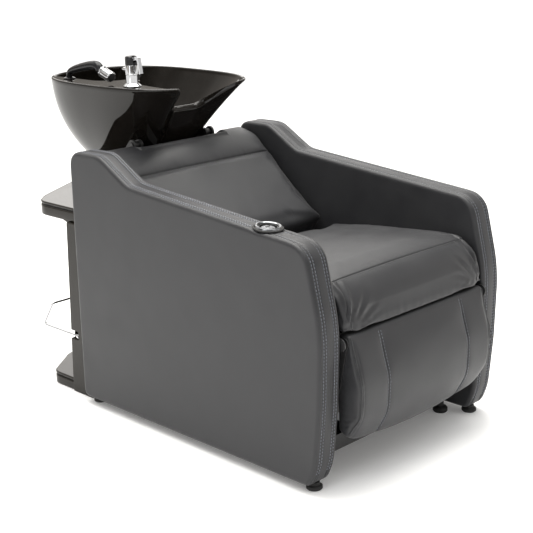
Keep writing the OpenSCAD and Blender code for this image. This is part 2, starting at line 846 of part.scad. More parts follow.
// The head's direction below the horizontal, and its rear face just off the grip's end
head_dip = 20;
head_at = [103, 901] - 12.1 * [cos(head_dip), sin(head_dip)];

module handset_holder() {
  color(chrome) from_arm_rear() translate([hose_at.x, hose_at.y, deck_z]) rotate_extrude($fn = 64)
    polygon([[8.4, -deck_t], [14, -deck_t], [14, 0], [18, 0], [17, 3], [12, 5], [8.4, 4]]);
}

module handset_grip() {
  color(gloss_black) from_arm_rear() {
    translate([hose_at.x, 0, 0]) for (i = [0:len(grip_spine) - 2]) hull()
      for (p = [grip_spine[i], grip_spine[i + 1]])
        translate([0, p[0], p[1]]) sphere(r = p[2], $fn = 24);
    translate([hose_at.x, hose_at.y, 800]) cylinder(h = 76, r = hose_r, $fn = 32);
  }
}

module at_head() {
  translate([hose_at.x, head_at.x, head_at.y]) rotate([90 + head_dip, 0, 0]) children();
}

module handset_collar() {
  color(chrome) from_arm_rear() at_head() {
    cylinder(h = 6, r = 16, $fn = 64);
    translate([0, 15, 2.3]) sphere(r = 3.5, $fn = 32);
  }
}

module handset_spray() {
  color(chrome) from_arm_rear() at_head() translate([0, 0, 6])
    rotate_extrude($fn = 64) polygon([[0, 0], [15, 0], [15, 30], [14, 34], [12, 36], [0, 36]]);
}

arm_right();
arm_left();
arm_board_right();
arm_board_left();
seat_cushion();
seat_board();
backrest_cushion();
backrest_board();
back_panel();
base_rails();
frame_feet();
glide_feet();
glide_studs();
panel_bolts();
hinge_bracket_right();
hinge_bracket_left();
hinge_pins();
legrest_pad();
legrest_board();
legrest_bracket_right();
legrest_bracket_left();
push_bracket();
actuator_mount();
actuator_cylinder();
actuator_motor();
actuator_rod();
control_box();
power_inlet();
switch_bezel();
switch_housing();
switch_rocker();
pedestal_body();
shelf_body();
shelf_panel();
toe_body();
toe_panel();
access_panel();
panel_screws();
support_column();
column_cover();
tilt_yoke();
tilt_pins();
tilt_bushes();
stop_pads();
towel_rail();
rail_bosses();
bowl();
bowl_saddle();
drain_flange();
drain_tailpiece();
drain_strainer();
mixer_body();
mixer_nut();
mixer_cap();
mixer_lever();
handset_holder();
handset_grip();
handset_collar();
handset_spray();
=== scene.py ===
# Looks of the shampoo backwash unit. Outlines are [y, z] in millimetres with y measured from the
# arms' rear edge, forward negative, as in the CAD source; row() turns them into the row frame.
import json
import math
import random
import bpy
import bmesh
import numpy as np
from mathutils import Matrix, Vector

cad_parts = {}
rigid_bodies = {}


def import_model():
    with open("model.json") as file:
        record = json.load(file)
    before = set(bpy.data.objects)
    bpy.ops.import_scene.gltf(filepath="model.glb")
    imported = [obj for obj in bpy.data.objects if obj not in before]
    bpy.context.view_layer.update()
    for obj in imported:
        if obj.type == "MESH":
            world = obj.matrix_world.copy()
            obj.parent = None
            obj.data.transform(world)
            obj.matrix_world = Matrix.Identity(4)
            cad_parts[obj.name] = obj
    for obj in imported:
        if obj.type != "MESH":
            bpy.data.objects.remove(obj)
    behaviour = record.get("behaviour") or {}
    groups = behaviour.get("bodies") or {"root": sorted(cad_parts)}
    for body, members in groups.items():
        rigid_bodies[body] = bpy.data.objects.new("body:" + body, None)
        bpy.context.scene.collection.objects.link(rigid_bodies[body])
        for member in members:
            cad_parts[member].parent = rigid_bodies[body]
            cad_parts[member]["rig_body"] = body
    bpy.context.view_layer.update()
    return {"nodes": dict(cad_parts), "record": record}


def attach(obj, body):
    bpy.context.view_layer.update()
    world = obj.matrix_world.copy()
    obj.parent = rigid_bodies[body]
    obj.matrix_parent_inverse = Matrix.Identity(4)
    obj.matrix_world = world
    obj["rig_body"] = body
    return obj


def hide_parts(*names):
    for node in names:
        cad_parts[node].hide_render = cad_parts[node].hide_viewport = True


ARM_REAR = 274.0            # the arms' rear edge in the row frame, mm along +Y
END_CAP = -1e6              # a pad vertex's place along the outline, when it is on an end
NEAR_STEPS = (0, 1.2, 2.6, 4.5)
STITCH, STITCH_GAP = 5.0, 3.2
CLOTH_PRESSURE, CLOTH_FRAMES = 4.0, 16
SWITCH_X, SWITCH_Y, SWITCH_Z, SWITCH_TILT = -312, -700, 612.2, 5
MIXER_X, MIXER_Y = -150, -36

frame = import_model()
nodes = frame["nodes"]
scene = bpy.context.scene


def row(p):
    """Millimetres from the arms' rear edge to metres in the row frame."""
    p = np.asarray(p, float).copy()
    p[..., 1] += ARM_REAR
    return p / 1000.0


def smooth(k):
    k = np.clip(k, 0.0, 1.0)
    return k * k * (3 - 2 * k)


def bump_at(d, width):
    """A soft hill, 1 at d = 0 and gone past the width."""
    return np.exp(-(np.asarray(d) / width) ** 2)


def dome(x, half):
    """1 at x = 0, falling to 0 at half."""
    return np.clip(1 - (x / half) ** 2, 0, 1)


def unit(v):
    return v / np.linalg.norm(v)


def units(rows):
    return rows / np.linalg.norm(rows, axis=1)[:, None]


def add(name, data):
    """A new object in the scene."""
    thing = bpy.data.objects.new(name, data)
    scene.collection.objects.link(thing)
    return thing


# ---------------------------------------------------------------- materials

def fill_in(node, **sockets):
    """Set a node's input values; _ in a name stands for a space."""
    for key, value in sockets.items():
        node.inputs[key.replace("_", " ")].default_value = value
    return node


def new_node(tree, kind, **sockets):
    return fill_in(tree.nodes.new("ShaderNode" + kind), **sockets)


def link(source, output, target, socket):
    source.id_data.links.new(source.outputs[output], target.inputs[socket])


def material(name, colour, rough, metal=0.0, **sockets):
    m = bpy.data.materials.new(name)
    m.use_nodes = True
    fill_in(m.node_tree.nodes["Principled BSDF"], Base_Color=(*colour, 1), Roughness=rough, Metallic=metal,
            **sockets)
    return m


def texture(m, kind, scale, stretch=(1, 1, 1), **settings):
    """A procedural texture in object space; returns its node."""
    tree = m.node_tree
    where = new_node(tree, "TexCoord")
    place = new_node(tree, "Mapping", Scale=stretch)
    node = new_node(tree, kind, Scale=scale, **settings)
    link(where, "Object", place, "Vector")
    link(place, "Vector", node, "Vector")
    return node


def vary(m, node, output, dark, light, rough=None):
    """Colour and roughness follow a texture between two ends."""
    tree = m.node_tree
    shader = tree.nodes["Principled BSDF"]
    ramp = new_node(tree, "ValToRGB")
    ramp.color_ramp.elements[0].color = (*dark, 1)
    ramp.color_ramp.elements[1].color = (*light, 1)
    ramp.color_ramp.elements[0].position = 0.3
    ramp.color_ramp.elements[1].position = 0.7
    link(node, output, ramp, "Fac")
    link(ramp, "Color", shader, "Base Color")
    if rough:
        spread = new_node(tree, "MapRange", From_Min=0.3, From_Max=0.7, To_Min=rough[0], To_Max=rough[1])
        link(node, output, spread, "Value")
        link(spread, "Result", shader, "Roughness")


def relief(m, layers):
    """Bumps in a chain: (texture node, output name, strength, height in metres)."""
    tree = m.node_tree
    last = None
    for node, output, strength, height in layers:
        bump = new_node(tree, "Bump", Strength=strength, Distance=height)
        link(node, output, bump, "Height")
        if last:
            link(last, "Normal", bump, "Normal")
        last = bump
    link(last, "Normal", tree.nodes["Principled BSDF"], "Normal")


def vinyl_material(name, dark, light):
    m = material(name, light, 0.42, Specular_IOR_Level=0.38, Sheen_Weight=0.1, Sheen_Roughness=0.4)
    cloud = texture(m, "TexNoise", 14, Detail=3.0)
    grain = texture(m, "TexVoronoi", 820, Randomness=1.0)
    creases = texture(m, "TexNoise", 420, Detail=5.0, Roughness=0.6)
    soft = texture(m, "TexNoise", 11, Detail=1.0)
    vary(m, cloud, "Fac", dark, light, (0.4, 0.5))
    relief(m, [(soft, "Fac", 0.22, 0.006), (creases, "Fac", 0.25, 0.0006),
               (grain, "Distance", 0.3, 0.0005)])
    return m


def gloss_material(name, colour, rough, wave):
    m = material(name, colour, rough, Specular_IOR_Level=0.24)
    haze = texture(m, "TexNoise", 35, Detail=6.0, Roughness=0.65)
    swell = texture(m, "TexNoise", 16, Detail=1.0)
    lighter = tuple(c * 1.35 + 0.002 for c in colour)
    vary(m, haze, "Fac", colour, lighter, (rough * 0.8, rough * 1.5))
    relief(m, [(swell, "Fac", wave, 0.003)])
    return m


def metal_material(name, colour, rough, stretch, scale, wear=0.35):
    m = material(name, colour, rough, 1.0)
    streaks = texture(m, "TexNoise", scale, stretch, Detail=4.0)
    vary(m, streaks, "Fac", tuple(c * (1 - wear * 0.3) for c in colour), colour, (rough * 0.8, rough * 1.3))
    relief(m, [(streaks, "Fac", 0.08, 0.0002)])
    return m


def moulded_material(name, dark, light, rough, pores=900):
    m = material(name, light, rough[0])
    cloud = texture(m, "TexNoise", 40, Detail=4.0)
    pits = texture(m, "TexNoise", pores, Detail=2.0)
    vary(m, cloud, "Fac", dark, light, rough)
    relief(m, [(pits, "Fac", 0.3, 0.0003)])
    return m


def ply_material():
    # the plywood's dark tone is painted shade: the boards show only in the gaps between cushions, arms and
    # frame, where shade falls; the figure and fibres are the wood's own
    m = material("plywood_painted_shade", (0.05, 0.04, 0.032), 0.6)
    figure = texture(m, "TexNoise", 9, (1, 0.6, 9), Detail=8.0, Roughness=0.6)
    fibres = texture(m, "TexNoise", 160, (1, 0.05, 1), Detail=3.0)
    vary(m, figure, "Fac", (0.028, 0.021, 0.016), (0.06, 0.047, 0.036), (0.55, 0.7))
    relief(m, [(fibres, "Fac", 0.3, 0.0006)])
    return m


VINYL = vinyl_material("vinyl", (0.0225, 0.0228, 0.0255), (0.0285, 0.029, 0.0315))
# light bluish grey thread: partly the thread's own colour, partly a painted highlight standing in for the
# sheen along the stitched edges of the arms and legrest
THREAD_AND_HIGHLIGHT = moulded_material("thread", (0.20, 0.215, 0.255), (0.30, 0.32, 0.38), (0.35, 0.5), 2500)
DARK_THREAD = moulded_material("dark_thread", (0.008, 0.008, 0.009), (0.016, 0.016, 0.017), (0.5, 0.7),
                               2500)
# near-black seal for the slots under the shelf's and toe's top panels; its darkness is partly painted shade
# of the slot
SEAM_SHADOW = moulded_material("seam_shadow", (0.006, 0.006, 0.007), (0.012, 0.012, 0.013), (0.6, 0.8))
GLOSS = gloss_material("gloss_black", (0.012, 0.010, 0.0075), 0.06, 0.10)
CERAMIC = gloss_material("ceramic", (0.006, 0.005, 0.004), 0.03, 0.05)
CHROME = metal_material("chrome", (0.58, 0.585, 0.60), 0.07, (1, 1, 1), 60, 0.1)
STEEL = metal_material("zinc_steel", (0.50, 0.51, 0.53), 0.32, (1, 14, 1), 90)
BLACK_STEEL = moulded_material("powder_coat", (0.018, 0.018, 0.019), (0.03, 0.03, 0.031), (0.4, 0.55), 1400)
PLASTIC = moulded_material("black_plastic", (0.012, 0.012, 0.013), (0.02, 0.02, 0.021), (0.32, 0.45))
RUBBER = moulded_material("rubber", (0.010, 0.010, 0.010), (0.018, 0.018, 0.018), (0.6, 0.8), 600)
DARK_CHROME = metal_material("dark_chrome", (0.20, 0.205, 0.215), 0.12, (1, 1, 1), 60, 0.1)
SATIN_METAL = metal_material("satin_cap", (0.26, 0.265, 0.28), 0.28, (1, 1, 1), 300, 0.3)
PLASTIC_GLOSS = gloss_material("handle_gloss", (0.010, 0.010, 0.011), 0.12, 0.05)
# plywood darkened as painted shade for the gaps it shows through
PLY = ply_material()

FINISH = {"vinyl": VINYL, "plywood": PLY, "gloss_black": GLOSS, "ceramic": CERAMIC, "chrome": CHROME,
          "steel": STEEL, "black_steel": BLACK_STEEL, "black_plastic": PLASTIC, "rubber": RUBBER}


# ---------------------------------------------------------------- meshes

def mesh_of(name, points, faces):
    """A mesh with its faces turned outwards."""
    mesh = bpy.data.meshes.new(name)
    mesh.from_pydata([tuple(p) for p in points], [], faces)
    bm = bmesh.new()
    bm.from_mesh(mesh)
    bmesh.ops.recalc_face_normals(bm, faces=bm.faces)
    bm.to_mesh(mesh)
    bm.free()
    return mesh


def new_object(name, points, faces, mat, body, sharp=None):
    """A piece from points in millimetres, riding on its body; smooth except past the sharp angle."""
    mesh = mesh_of(name, row(points), faces)
    mesh.shade_smooth()
    mesh.materials.append(mat)
    piece = add(name, mesh)
    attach(piece, body)
    if sharp:
        mesh.set_sharp_from_angle(angle=math.radians(sharp))
    return piece


def skin(rings, n, closed=False):
    """Quads between rings of n points each, the last ring joined to the first if closed."""
    faces = []
    for j in range(rings if closed else rings - 1):
        a, b = j * n, (j + 1) % rings * n
        for i in range(n):
            k = (i + 1) % n
            faces.append((a + i, a + k, b + k, b + i))
    return faces


def ends(rings, n):
    """The first and the last ring as faces."""
    return [tuple(range(n)), tuple(range((rings - 1) * n, rings * n))]


def arc(a, p, b, r, steps):
    """The corner p between a and b, turned into an arc of radius r."""
    a, p, b = (np.array(v[:2], float) for v in (a, p, b))
    u, v = unit(a - p), unit(b - p)
    half = math.acos(float(u @ v)) / 2
    if r <= 0 or half > 1.56:
        return [p]
    c = p + unit(u + v) * r / math.sin(half)
    p0, p1 = p + u * r / math.tan(half) - c, p + v * r / math.tan(half) - c
    a0 = math.atan2(p0[1], p0[0])
    turn = (math.atan2(p1[1], p1[0]) - a0 + 3 * math.pi) % (2 * math.pi) - math.pi
    return [c + r * np.array([math.cos(a0 + turn * i / steps), math.sin(a0 + turn * i / steps)])
            for i in range(steps + 1)]


def rounded(corners, steps=14):
    n = len(corners)
    out = []
    for i, p in enumerate(corners):
        out += arc(corners[i - 1], p, corners[(i + 1) % n], p[2], steps)
    return np.array(out)


def lengths(curve):
    return np.concatenate([[0], np.cumsum(np.linalg.norm(np.diff(curve, axis=0), axis=1))])


def sample(curve, at):
    s = lengths(curve)
    return np.stack([np.interp(at, s, curve[:, k]) for k in range(curve.shape[1])], axis=1)


def nearest_length(curve, p):
    """How far along the curve its nearest place to p is."""
    fine = np.linspace(0, lengths(curve)[-1], 4000)
    d = np.linalg.norm(sample(curve, fine) - np.array(p, float), axis=1)
    return float(fine[d.argmin()])


def stations(low, high, step, spots=()):
    """Even places from low to high, closer together beside each spot."""
    even = np.linspace(low, high, max(2, int(round((high - low) / step)) + 1))
    keep = [v for v in even if all(abs(v - s) > NEAR_STEPS[-1] + step * 0.4 for s in spots)
            or v in (even[0], even[-1])]
    near = [s + d * k for s in spots for d in (-1, 1) for k in NEAR_STEPS if low < s + d * k < high]
    return np.array(sorted(set(np.round(keep + near, 4))))


class Pad:
    """An upholstered pad: a closed [y, z] outline swept across X, its edges rounded over, its ends
    closed by even quads. Every vertex knows its place along the outline and across."""

    def __init__(self, corners, four, x0, x1, edge, step, x_spots=(), spots=(), depth=None, x_step=None):
        loop = rounded(corners)
        start = int(np.linalg.norm(loop - np.array(four[0]), axis=1).argmin())
        loop = np.roll(loop, -start, axis=0)
        closed = np.vstack([loop, loop[:1]])
        cuts = [0.0] + [nearest_length(closed, p) for p in four[1:]] + [lengths(closed)[-1]]
        sides = []
        for k in range(4):
            inside = [nearest_length(closed, p) for p in spots]
            inside = [s for s in inside if cuts[k] + 6 < s < cuts[k + 1] - 6]
            sides.append(stations(cuts[k], cuts[k + 1], step, inside))
        for k in (0, 1):
            a, b = sides[k], sides[k + 2]
            n = max(len(a), len(b))
            if len(a) < n:
                sides[k] = self._refill(a, n)
            if len(b) < n:
                sides[k + 2] = self._refill(b, n)
        self.n0, self.n1 = len(sides[0]) - 1, len(sides[1]) - 1
        self.s = np.concatenate([side[:-1] for side in sides])
        self.loop = sample(closed, self.s)
        self.closed = closed
        self.total = lengths(closed)[-1]
        n = len(self.s)
        ahead, behind = np.roll(self.loop, -1, 0), np.roll(self.loop, 1, 0)
        t = units(ahead - behind)
        area = 0.5 * np.sum(self.loop[:, 0] * ahead[:, 1] - ahead[:, 0] * self.loop[:, 1])
        out = np.stack([t[:, 1], -t[:, 0]], 1) * (1 if area > 0 else -1)
        turn = np.cross(self.loop - behind, ahead - self.loop) / (
            np.linalg.norm(self.loop - behind, axis=1) * np.linalg.norm(ahead - self.loop, axis=1))
        turn *= 1 if area > 0 else -1
        span = 0.5 * np.linalg.norm(ahead - behind, axis=1)
        radius = np.where(turn > 1e-3, span / np.maximum(turn, 1e-3), 1e3)
        most = np.minimum(edge, 0.6 * radius)
        if depth is not None:
            most = np.minimum(most, edge * depth(self.loop))
        for _ in range(6):
            most = np.minimum(most, (np.roll(most, 1) + np.roll(most, -1)) / 2 + 0.6)
        most = (np.roll(most, 1) + most + np.roll(most, -1)) / 3
        near = edge * (1 - np.cos(np.linspace(0, math.pi / 2, 6)))
        mids = stations(x0 + edge, x1 - edge, x_step or step, x_spots)
        xs = np.concatenate([x0 + near[:-1], mids, (x1 - near[:-1])[::-1]])
        rings = []
        for x in xs:
            d = min(x - x0, x1 - x)
            part = 1 - math.sqrt(max(0.0, 1 - (1 - d / edge) ** 2)) if d < edge else 0.0
            flat = self.loop - out * (most * part)[:, None]
            rings.append(np.column_stack([np.full(n, x), flat]))
        self.xs, self.n = xs, n
        points = list(np.concatenate(rings))
        faces = skin(len(xs), n)
        for k in (0, len(xs) - 1):
            ring = rings[k]
            index = np.zeros((self.n1 + 1, self.n0 + 1), int)
            n0, n1 = self.n0, self.n1
            left = list(range(n0 + 1))
            top = [n0 + i for i in range(n1 + 1)]
            right = [(n0 + n1 + n0 - j) % n for j in range(n0 + 1)]
            low = [(2 * n0 + n1 + n1 - i) % n for i in range(n1 + 1)]
            index[0, :], index[n1, :] = left, right
            index[:, n0], index[:, 0] = top, low
            ut = lengths(ring[top]) / lengths(ring[top])[-1]
            ul = lengths(ring[low]) / lengths(ring[low])[-1]
            vl = lengths(ring[left]) / lengths(ring[left])[-1]
            vr = lengths(ring[right]) / lengths(ring[right])[-1]
            for i in range(1, n1):
                for j in range(1, n0):
                    v = vl[j] + (vr[j] - vl[j]) * i / n1
                    u = ul[i] + (ut[i] - ul[i]) * v
                    p = ((1 - u) * ring[left[j]] + u * ring[right[j]] + (1 - v) * ring[low[i]]
                         + v * ring[top[i]] - (1 - u) * (1 - v) * ring[left[0]]
                         - u * (1 - v) * ring[right[0]] - (1 - u) * v * ring[left[n0]]
                         - u * v * ring[right[n0]])
                    index[i, j] = len(points)
                    points.append(p)
            # numbers below n are places on this ring, the others are new points inside it
            full = np.where(index >= n, index, index + k * n)
            for i in range(n1):
                for j in range(n0):
                    faces.append((full[i, j], full[i + 1, j], full[i + 1, j + 1], full[i, j + 1]))
        self.points = np.array(points)
        self.faces = [tuple(int(v) for v in f) for f in faces]
        self.along = np.concatenate([np.tile(self.s, len(xs)), np.full(len(points) - n * len(xs), END_CAP)])
        self.mantle = self.along > END_CAP / 10

    @staticmethod
    def _refill(places, n):
        """More places on a side, by splitting its widest gaps."""
        places = list(places)
        while len(places) < n:
            k = int(np.diff(places).argmax())
            places.insert(k + 1, (places[k] + places[k + 1]) / 2)
        return np.array(places)

    def place(self, p):
        return nearest_length(self.closed, p)

    def ahead_of(self, s):
        """Signed distance along the outline from s, the short way round."""
        d = (self.along - s + self.total / 2) % self.total - self.total / 2
        return np.where(self.mantle, d, -END_CAP)

    def normals(self):
        mesh = bpy.data.meshes.new("scratch")
        mesh.from_pydata([tuple(p) for p in self.points], [], self.faces)
        bm = bmesh.new()
        bm.from_mesh(mesh)
        bmesh.ops.recalc_face_normals(bm, faces=bm.faces)
        out = np.array([v.normal for v in bm.verts])
        bm.free()
        bpy.data.meshes.remove(mesh)
        return out

    def push(self, distance):
        self.points = self.points + self.normals() * np.asarray(distance)[:, None]

    def _lifted(self, rows, lift):
        normals = self.normals()[rows]
        return self.points[rows] + normals * lift, normals

    def column(self, x, lift):
        """The outline's path at the station nearest to x, with its normals."""
        k = int(np.abs(self.xs - x).argmin())
        return self._lifted(np.arange(k * self.n, (k + 1) * self.n), lift)

    def line(self, s, lift):
        """The path across X at the place s along the outline, with its normals."""
        i = int(np.abs(self.s - s).argmin())
        return self._lifted(np.arange(len(self.xs)) * self.n + i, lift)

    def inflate(self, cap, hold):
        """Cloth pressure fills the cover; hold is true where it is stapled or sewn down."""
        mesh = mesh_of("cover", self.points / 1000.0, self.faces)
        cover = add("cover", mesh)
        group = cover.vertex_groups.new(name="hold")
        group.add([int(i) for i in np.nonzero(hold)[0]], 1.0, "REPLACE")
        cloth = cover.modifiers.new("Cloth", "CLOTH")
        cs = cloth.settings
        cs.quality = 4
        cs.mass = 0.4
        cs.tension_stiffness = cs.compression_stiffness = 30
        cs.shear_stiffness = 10
        cs.bending_stiffness = 2.0
        cs.use_pressure = True
        cs.uniform_pressure_force = CLOTH_PRESSURE
        cs.vertex_group_mass = "hold"
        cs.effector_weights.gravity = 0
        cloth.point_cache.frame_start, cloth.point_cache.frame_end = 1, CLOTH_FRAMES
        for f in range(1, CLOTH_FRAMES + 1):
            scene.frame_set(f)
        shown = cover.evaluated_get(bpy.context.evaluated_depsgraph_get())
        co = np.zeros(len(mesh.vertices) * 3)
        shown.data.vertices.foreach_get("co", co)
        move = co.reshape(-1, 3) * 1000.0 - self.points
        size = np.linalg.norm(move, axis=1)
        self.points = self.points + move * np.minimum(1, cap / np.maximum(size, 1e-9))[:, None]
        bpy.data.objects.remove(cover)
        bpy.data.meshes.remove(mesh)
        scene.frame_set(1)

    def make(self, name, body, replaced):
        piece = new_object(name, self.points, self.faces, VINYL, body)
        sub = piece.modifiers.new("Subdivision", "SUBSURF")
        sub.levels = sub.render_levels = 1
        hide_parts(replaced)


def tube(name, path, radius, mat, body, sides):
    """A round tube along a path in millimetres, with domed ends."""
    path = np.asarray(path, float)
    radius = np.broadcast_to(np.asarray(radius, float), (len(path),)).copy()
    t = units(np.gradient(path, axis=0))
    side = unit(np.cross(t[0], [0.3, 0.5, 0.8]))
    cap = [(1, 0.35), (0.75, 0.75), (0.35, 0.94)]
    rings = [(path[0] - t[0] * radius[0] * back * 0.9, t[0], radius[0] * share) for back, share in cap]
    rings += zip(path, t, radius)
    rings += [(path[-1] + t[-1] * radius[-1] * back * 0.9, t[-1], radius[-1] * share)
              for back, share in reversed(cap)]
    points = []
    for p, d, r in rings:
        side = unit(side - d * (side @ d))
        other = np.cross(d, side)
        for k in range(sides):
            a = 2 * math.pi * k / sides
            points.append(p + r * (math.cos(a) * side + math.sin(a) * other))
    first, last = ends(len(rings), sides)
    faces = skin(len(rings), sides) + [first[::-1], last]
    return new_object(name, np.array(points), faces, mat, body)


def stitches(name, runs, body, radius, mat):
    """Short thread stitches sunk into the cover along each (path, normals) run."""
    first, last = ends(5, 6)
    one = skin(5, 6) + [first[::-1], last]
    points, faces = [], []
    for path, normal in runs:
        s = lengths(path)
        for begin in np.arange(STITCH_GAP, s[-1] - STITCH, STITCH + STITCH_GAP):
            a, m, b = (sample(path, [v])[0] for v in (begin, begin + STITCH / 2, begin + STITCH))
            n = unit(sample(normal, [begin + STITCH / 2])[0])
            d = unit(b - a)
            w = np.cross(d, n)
            faces += [tuple(len(points) + v for v in f) for f in one]
            for p, r, h in ((a, 0.45, -0.3), (m - d * STITCH * 0.25, 1, 0.35), (m, 1.05, 0.5),
                            (m + d * STITCH * 0.25, 1, 0.35), (b, 0.45, -0.3)):
                for k in range(6):
                    q = math.pi * k / 3
                    ray = math.cos(q) * w + math.sin(q) * n * 0.8
                    points.append(p + n * h * radius + radius * r * ray)
    new_object(name, np.array(points), faces, mat, body)


def folds(phase, seed, pitch):
    """Uneven folds along a coordinate: five waves about one pitch, about -1 to 1 in sum."""
    pick = random.Random(seed)
    total = np.zeros_like(phase)
    for _ in range(5):
        wave = pitch * pick.uniform(0.7, 1.5)
        total += pick.uniform(0.5, 1.0) * np.sin(2 * math.pi * (phase / wave + pick.random()))
    return total / (5 * 0.55)


# ---------------------------------------------------------------- camera, light, floor

def set_stage():
    # the photo's camera, solved from the arms' outlines: azimuth, elevation and roll in radians
    a, e, roll = -0.79036232, 0.28269137, -0.02055799
    back = Vector((math.sin(a) * math.cos(e), -math.cos(a) * math.cos(e), math.sin(e)))
    right = (-back).cross(Vector((0, 0, 1))).normalized()
    up = right.cross(-back)
    r = right * math.cos(roll) + up * math.sin(roll)
    u = -right * math.sin(roll) + up * math.cos(roll)
    data = bpy.data.cameras.new("camera")
    data.lens, data.sensor_width = 80.84, 36
    data.clip_end = 60
    cam = add("camera", data)
    cam.matrix_world = Matrix(((r.x, u.x, back.x, -2.20795), (r.y, u.y, back.y, -2.29531),
                               (r.z, u.z, back.z, 1.29338), (0, 0, 0, 1)))
    scene.camera = cam

    # a plain studio: pale overhead, dimmer and warmer towards the walls, with broad soft patches
    world = bpy.data.worlds.new("studio")
    world.use_nodes = True
    tree = world.node_tree
    sky = tree.nodes["Background"]
    where = new_node(tree, "TexCoord")
    split = new_node(tree, "SeparateXYZ")
    climb = new_node(tree, "ValToRGB")
    stops = climb.color_ramp.elements
    stops[0].position, stops[0].color = 0.0, (0.50, 0.47, 0.43, 1)
    stops[1].position, stops[1].color = 0.75, (1.25, 1.24, 1.2, 1)
    stops.new(0.3).color = (0.36, 0.33, 0.30, 1)
    patches = new_node(tree, "TexNoise", Scale=1.7, Detail=0.5)
    contrast = new_node(tree, "MapRange", From_Min=0.4, From_Max=0.62, To_Min=0.35, To_Max=1.7)
    # the studio is dimmer on the side the sitter faces
    fall = new_node(tree, "MapRange", From_Min=-0.9, From_Max=0.3, To_Min=0.62, To_Max=1.1)
    link(where, "Generated", split, "Vector")
    link(where, "Generated", patches, "Vector")
    link(split, "Z", climb, "Fac")
    link(climb, "Color", sky, "Color")
    link(patches, "Fac", contrast, "Value")
    both = new_node(tree, "Math")
    both.operation = "MULTIPLY"
    link(split, "Y", fall, "Value")
    link(contrast, "Result", both, 0)
    link(fall, "Result", both, 1)
    link(both, "Value", sky, "Strength")
    scene.world = world
    scene.view_settings.view_transform = "Standard"

    def area(name, at, aim, size, power, colour):
        light = bpy.data.lights.new(name, "AREA")
        light.shape = "RECTANGLE"
        light.size, light.size_y = size
        light.energy = power
        light.color = colour
        lamp = add(name, light)
        lamp.location = at
        lamp.rotation_mode = "QUATERNION"
        lamp.rotation_quaternion = (Vector(aim) - Vector(at)).to_track_quat("-Z", "Y")

    area("overhead", (0.2, 0.3, 3.4), (0, 0, 0.4), (3.0, 2.4), 150, (1, 0.98, 0.93))
    area("front_right", (2.6, -2.4, 1.9), (0, 0, 0.5), (1.2, 1.8), 3, (0.90, 0.95, 1))
    area("left_fill", (-3.4, -0.6, 1.5), (0, 0, 0.5), (1.2, 2.0), 15, (0.97, 0.98, 1))
    area("back_card", (4.4, 4.6, 3.05), (0, 0, 0.7), (5.2, 2.6), 75, (1, 0.99, 0.97))
    sun = bpy.data.lights.new("ceiling", "SUN")
    sun.energy, sun.angle = 1.5, math.radians(80)
    add("ceiling", sun)

    mesh = bpy.data.meshes.new("floor")
    n, half = 40, 45.0
    places = [-half + 2 * half * i / n for i in range(n + 1)]
    quads = [(k, k + n + 1, k + n + 2, k + 1)
             for i in range(n) for k in range(i * (n + 1), i * (n + 1) + n)]
    mesh.from_pydata([(x, y, 0) for x in places for y in places], [], quads)
    mesh.materials.append(material("floor", (0.93, 0.93, 0.93), 0.7, Specular_IOR_Level=0.2,
                                   Emission_Color=(1, 1, 1, 1), Emission_Strength=0.12))
    add("floor", mesh)


# ---------------------------------------------------------------- upholstery

ARM = [[0, 20, 14], [0, 713, 36], [-124, 715, 70], [-236, 650, 60], [-846, 598, 62], [-893, 405, 420],
       [-887, 215, 420], [-873, 70, 160], [-850, 20, 14]]


def make_arm(name, side):
    """The band's outer edge is double stitched on the near side, its inner edge on the other."""
    low, high = (-350, -278) if side < 0 else (278, 350)
    rows_at = [low + 13.5, low + 21.5, high - 13.5, high - 21.5]
    pad = Pad(ARM, [(0, 20), (-3, 700), (-862, 585), (-850, 20)], low, high, 9.5, 13,
              x_spots=rows_at, x_step=9)
    x, y, z = pad.points.T
    across = np.minimum(np.abs(x - low), np.abs(high - x))
    showing = pad.mantle & ((z > 30) | (y < -870)) & (y < -6)
    dip = np.zeros(len(x))
    for at in rows_at:
        dip -= 1.5 * bump_at(x - at, 1.5)
    dip += 1.3 * bump_at(across - 17.5, 3.0) + 0.8 * bump_at(across - 8, 4)
    dip = np.where(showing, dip, 0)
    dip = dip + np.where(pad.mantle, 1.2 * bump_at(across - 36, 14), 0) * smooth((z - 40) / 60)
    dip = dip + np.where(showing, 0.35 * folds(pad.along, 5, 34) * bump_at(across - 17, 7), 0)
    pad.push(dip)
    if side < 0:
        # the cover is drawn down under the switch's bezel
        x, y, z = pad.points.T
        d = np.hypot(x - SWITCH_X, (y - SWITCH_Y) / math.cos(math.radians(SWITCH_TILT)))
        pad.points[:, 2] -= np.where((z > 560) & pad.mantle, 2.4 * (1 - smooth((d - 30) / 16)), 0)
    pad.make(name + "_cover", "chair", name)
    runs = []
    for at in rows_at:
        path, normal = pad.column(at, 0.9)
        ok = (path[:, 2] > 40) & (path[:, 1] < -12)
        if side < 0:
            d = np.hypot(path[:, 0] - SWITCH_X, path[:, 1] - SWITCH_Y)
            ok &= ~((d < 36) & (path[:, 2] > 560))
        idx = np.nonzero(ok)[0]
        splits = np.split(idx, np.nonzero(np.diff(idx) > 1)[0] + 1)
        runs += [(path[g], normal[g]) for g in splits if len(g) > 3]
    # the arms' stitching in light thread paints the highlight along the band's rounded edge
    stitches(name + "_stitching", runs, "chair", 0.95, THREAD_AND_HIGHLIGHT)


def stitch_seam(name, pad, place):
    """One stitched line across the pad."""
    path, normal = pad.line(place, 0.5)
    ok = np.abs(path[:, 0]) < 262
    stitches(name, [(path[ok], normal[ok])], "chair", 0.55, DARK_THREAD)


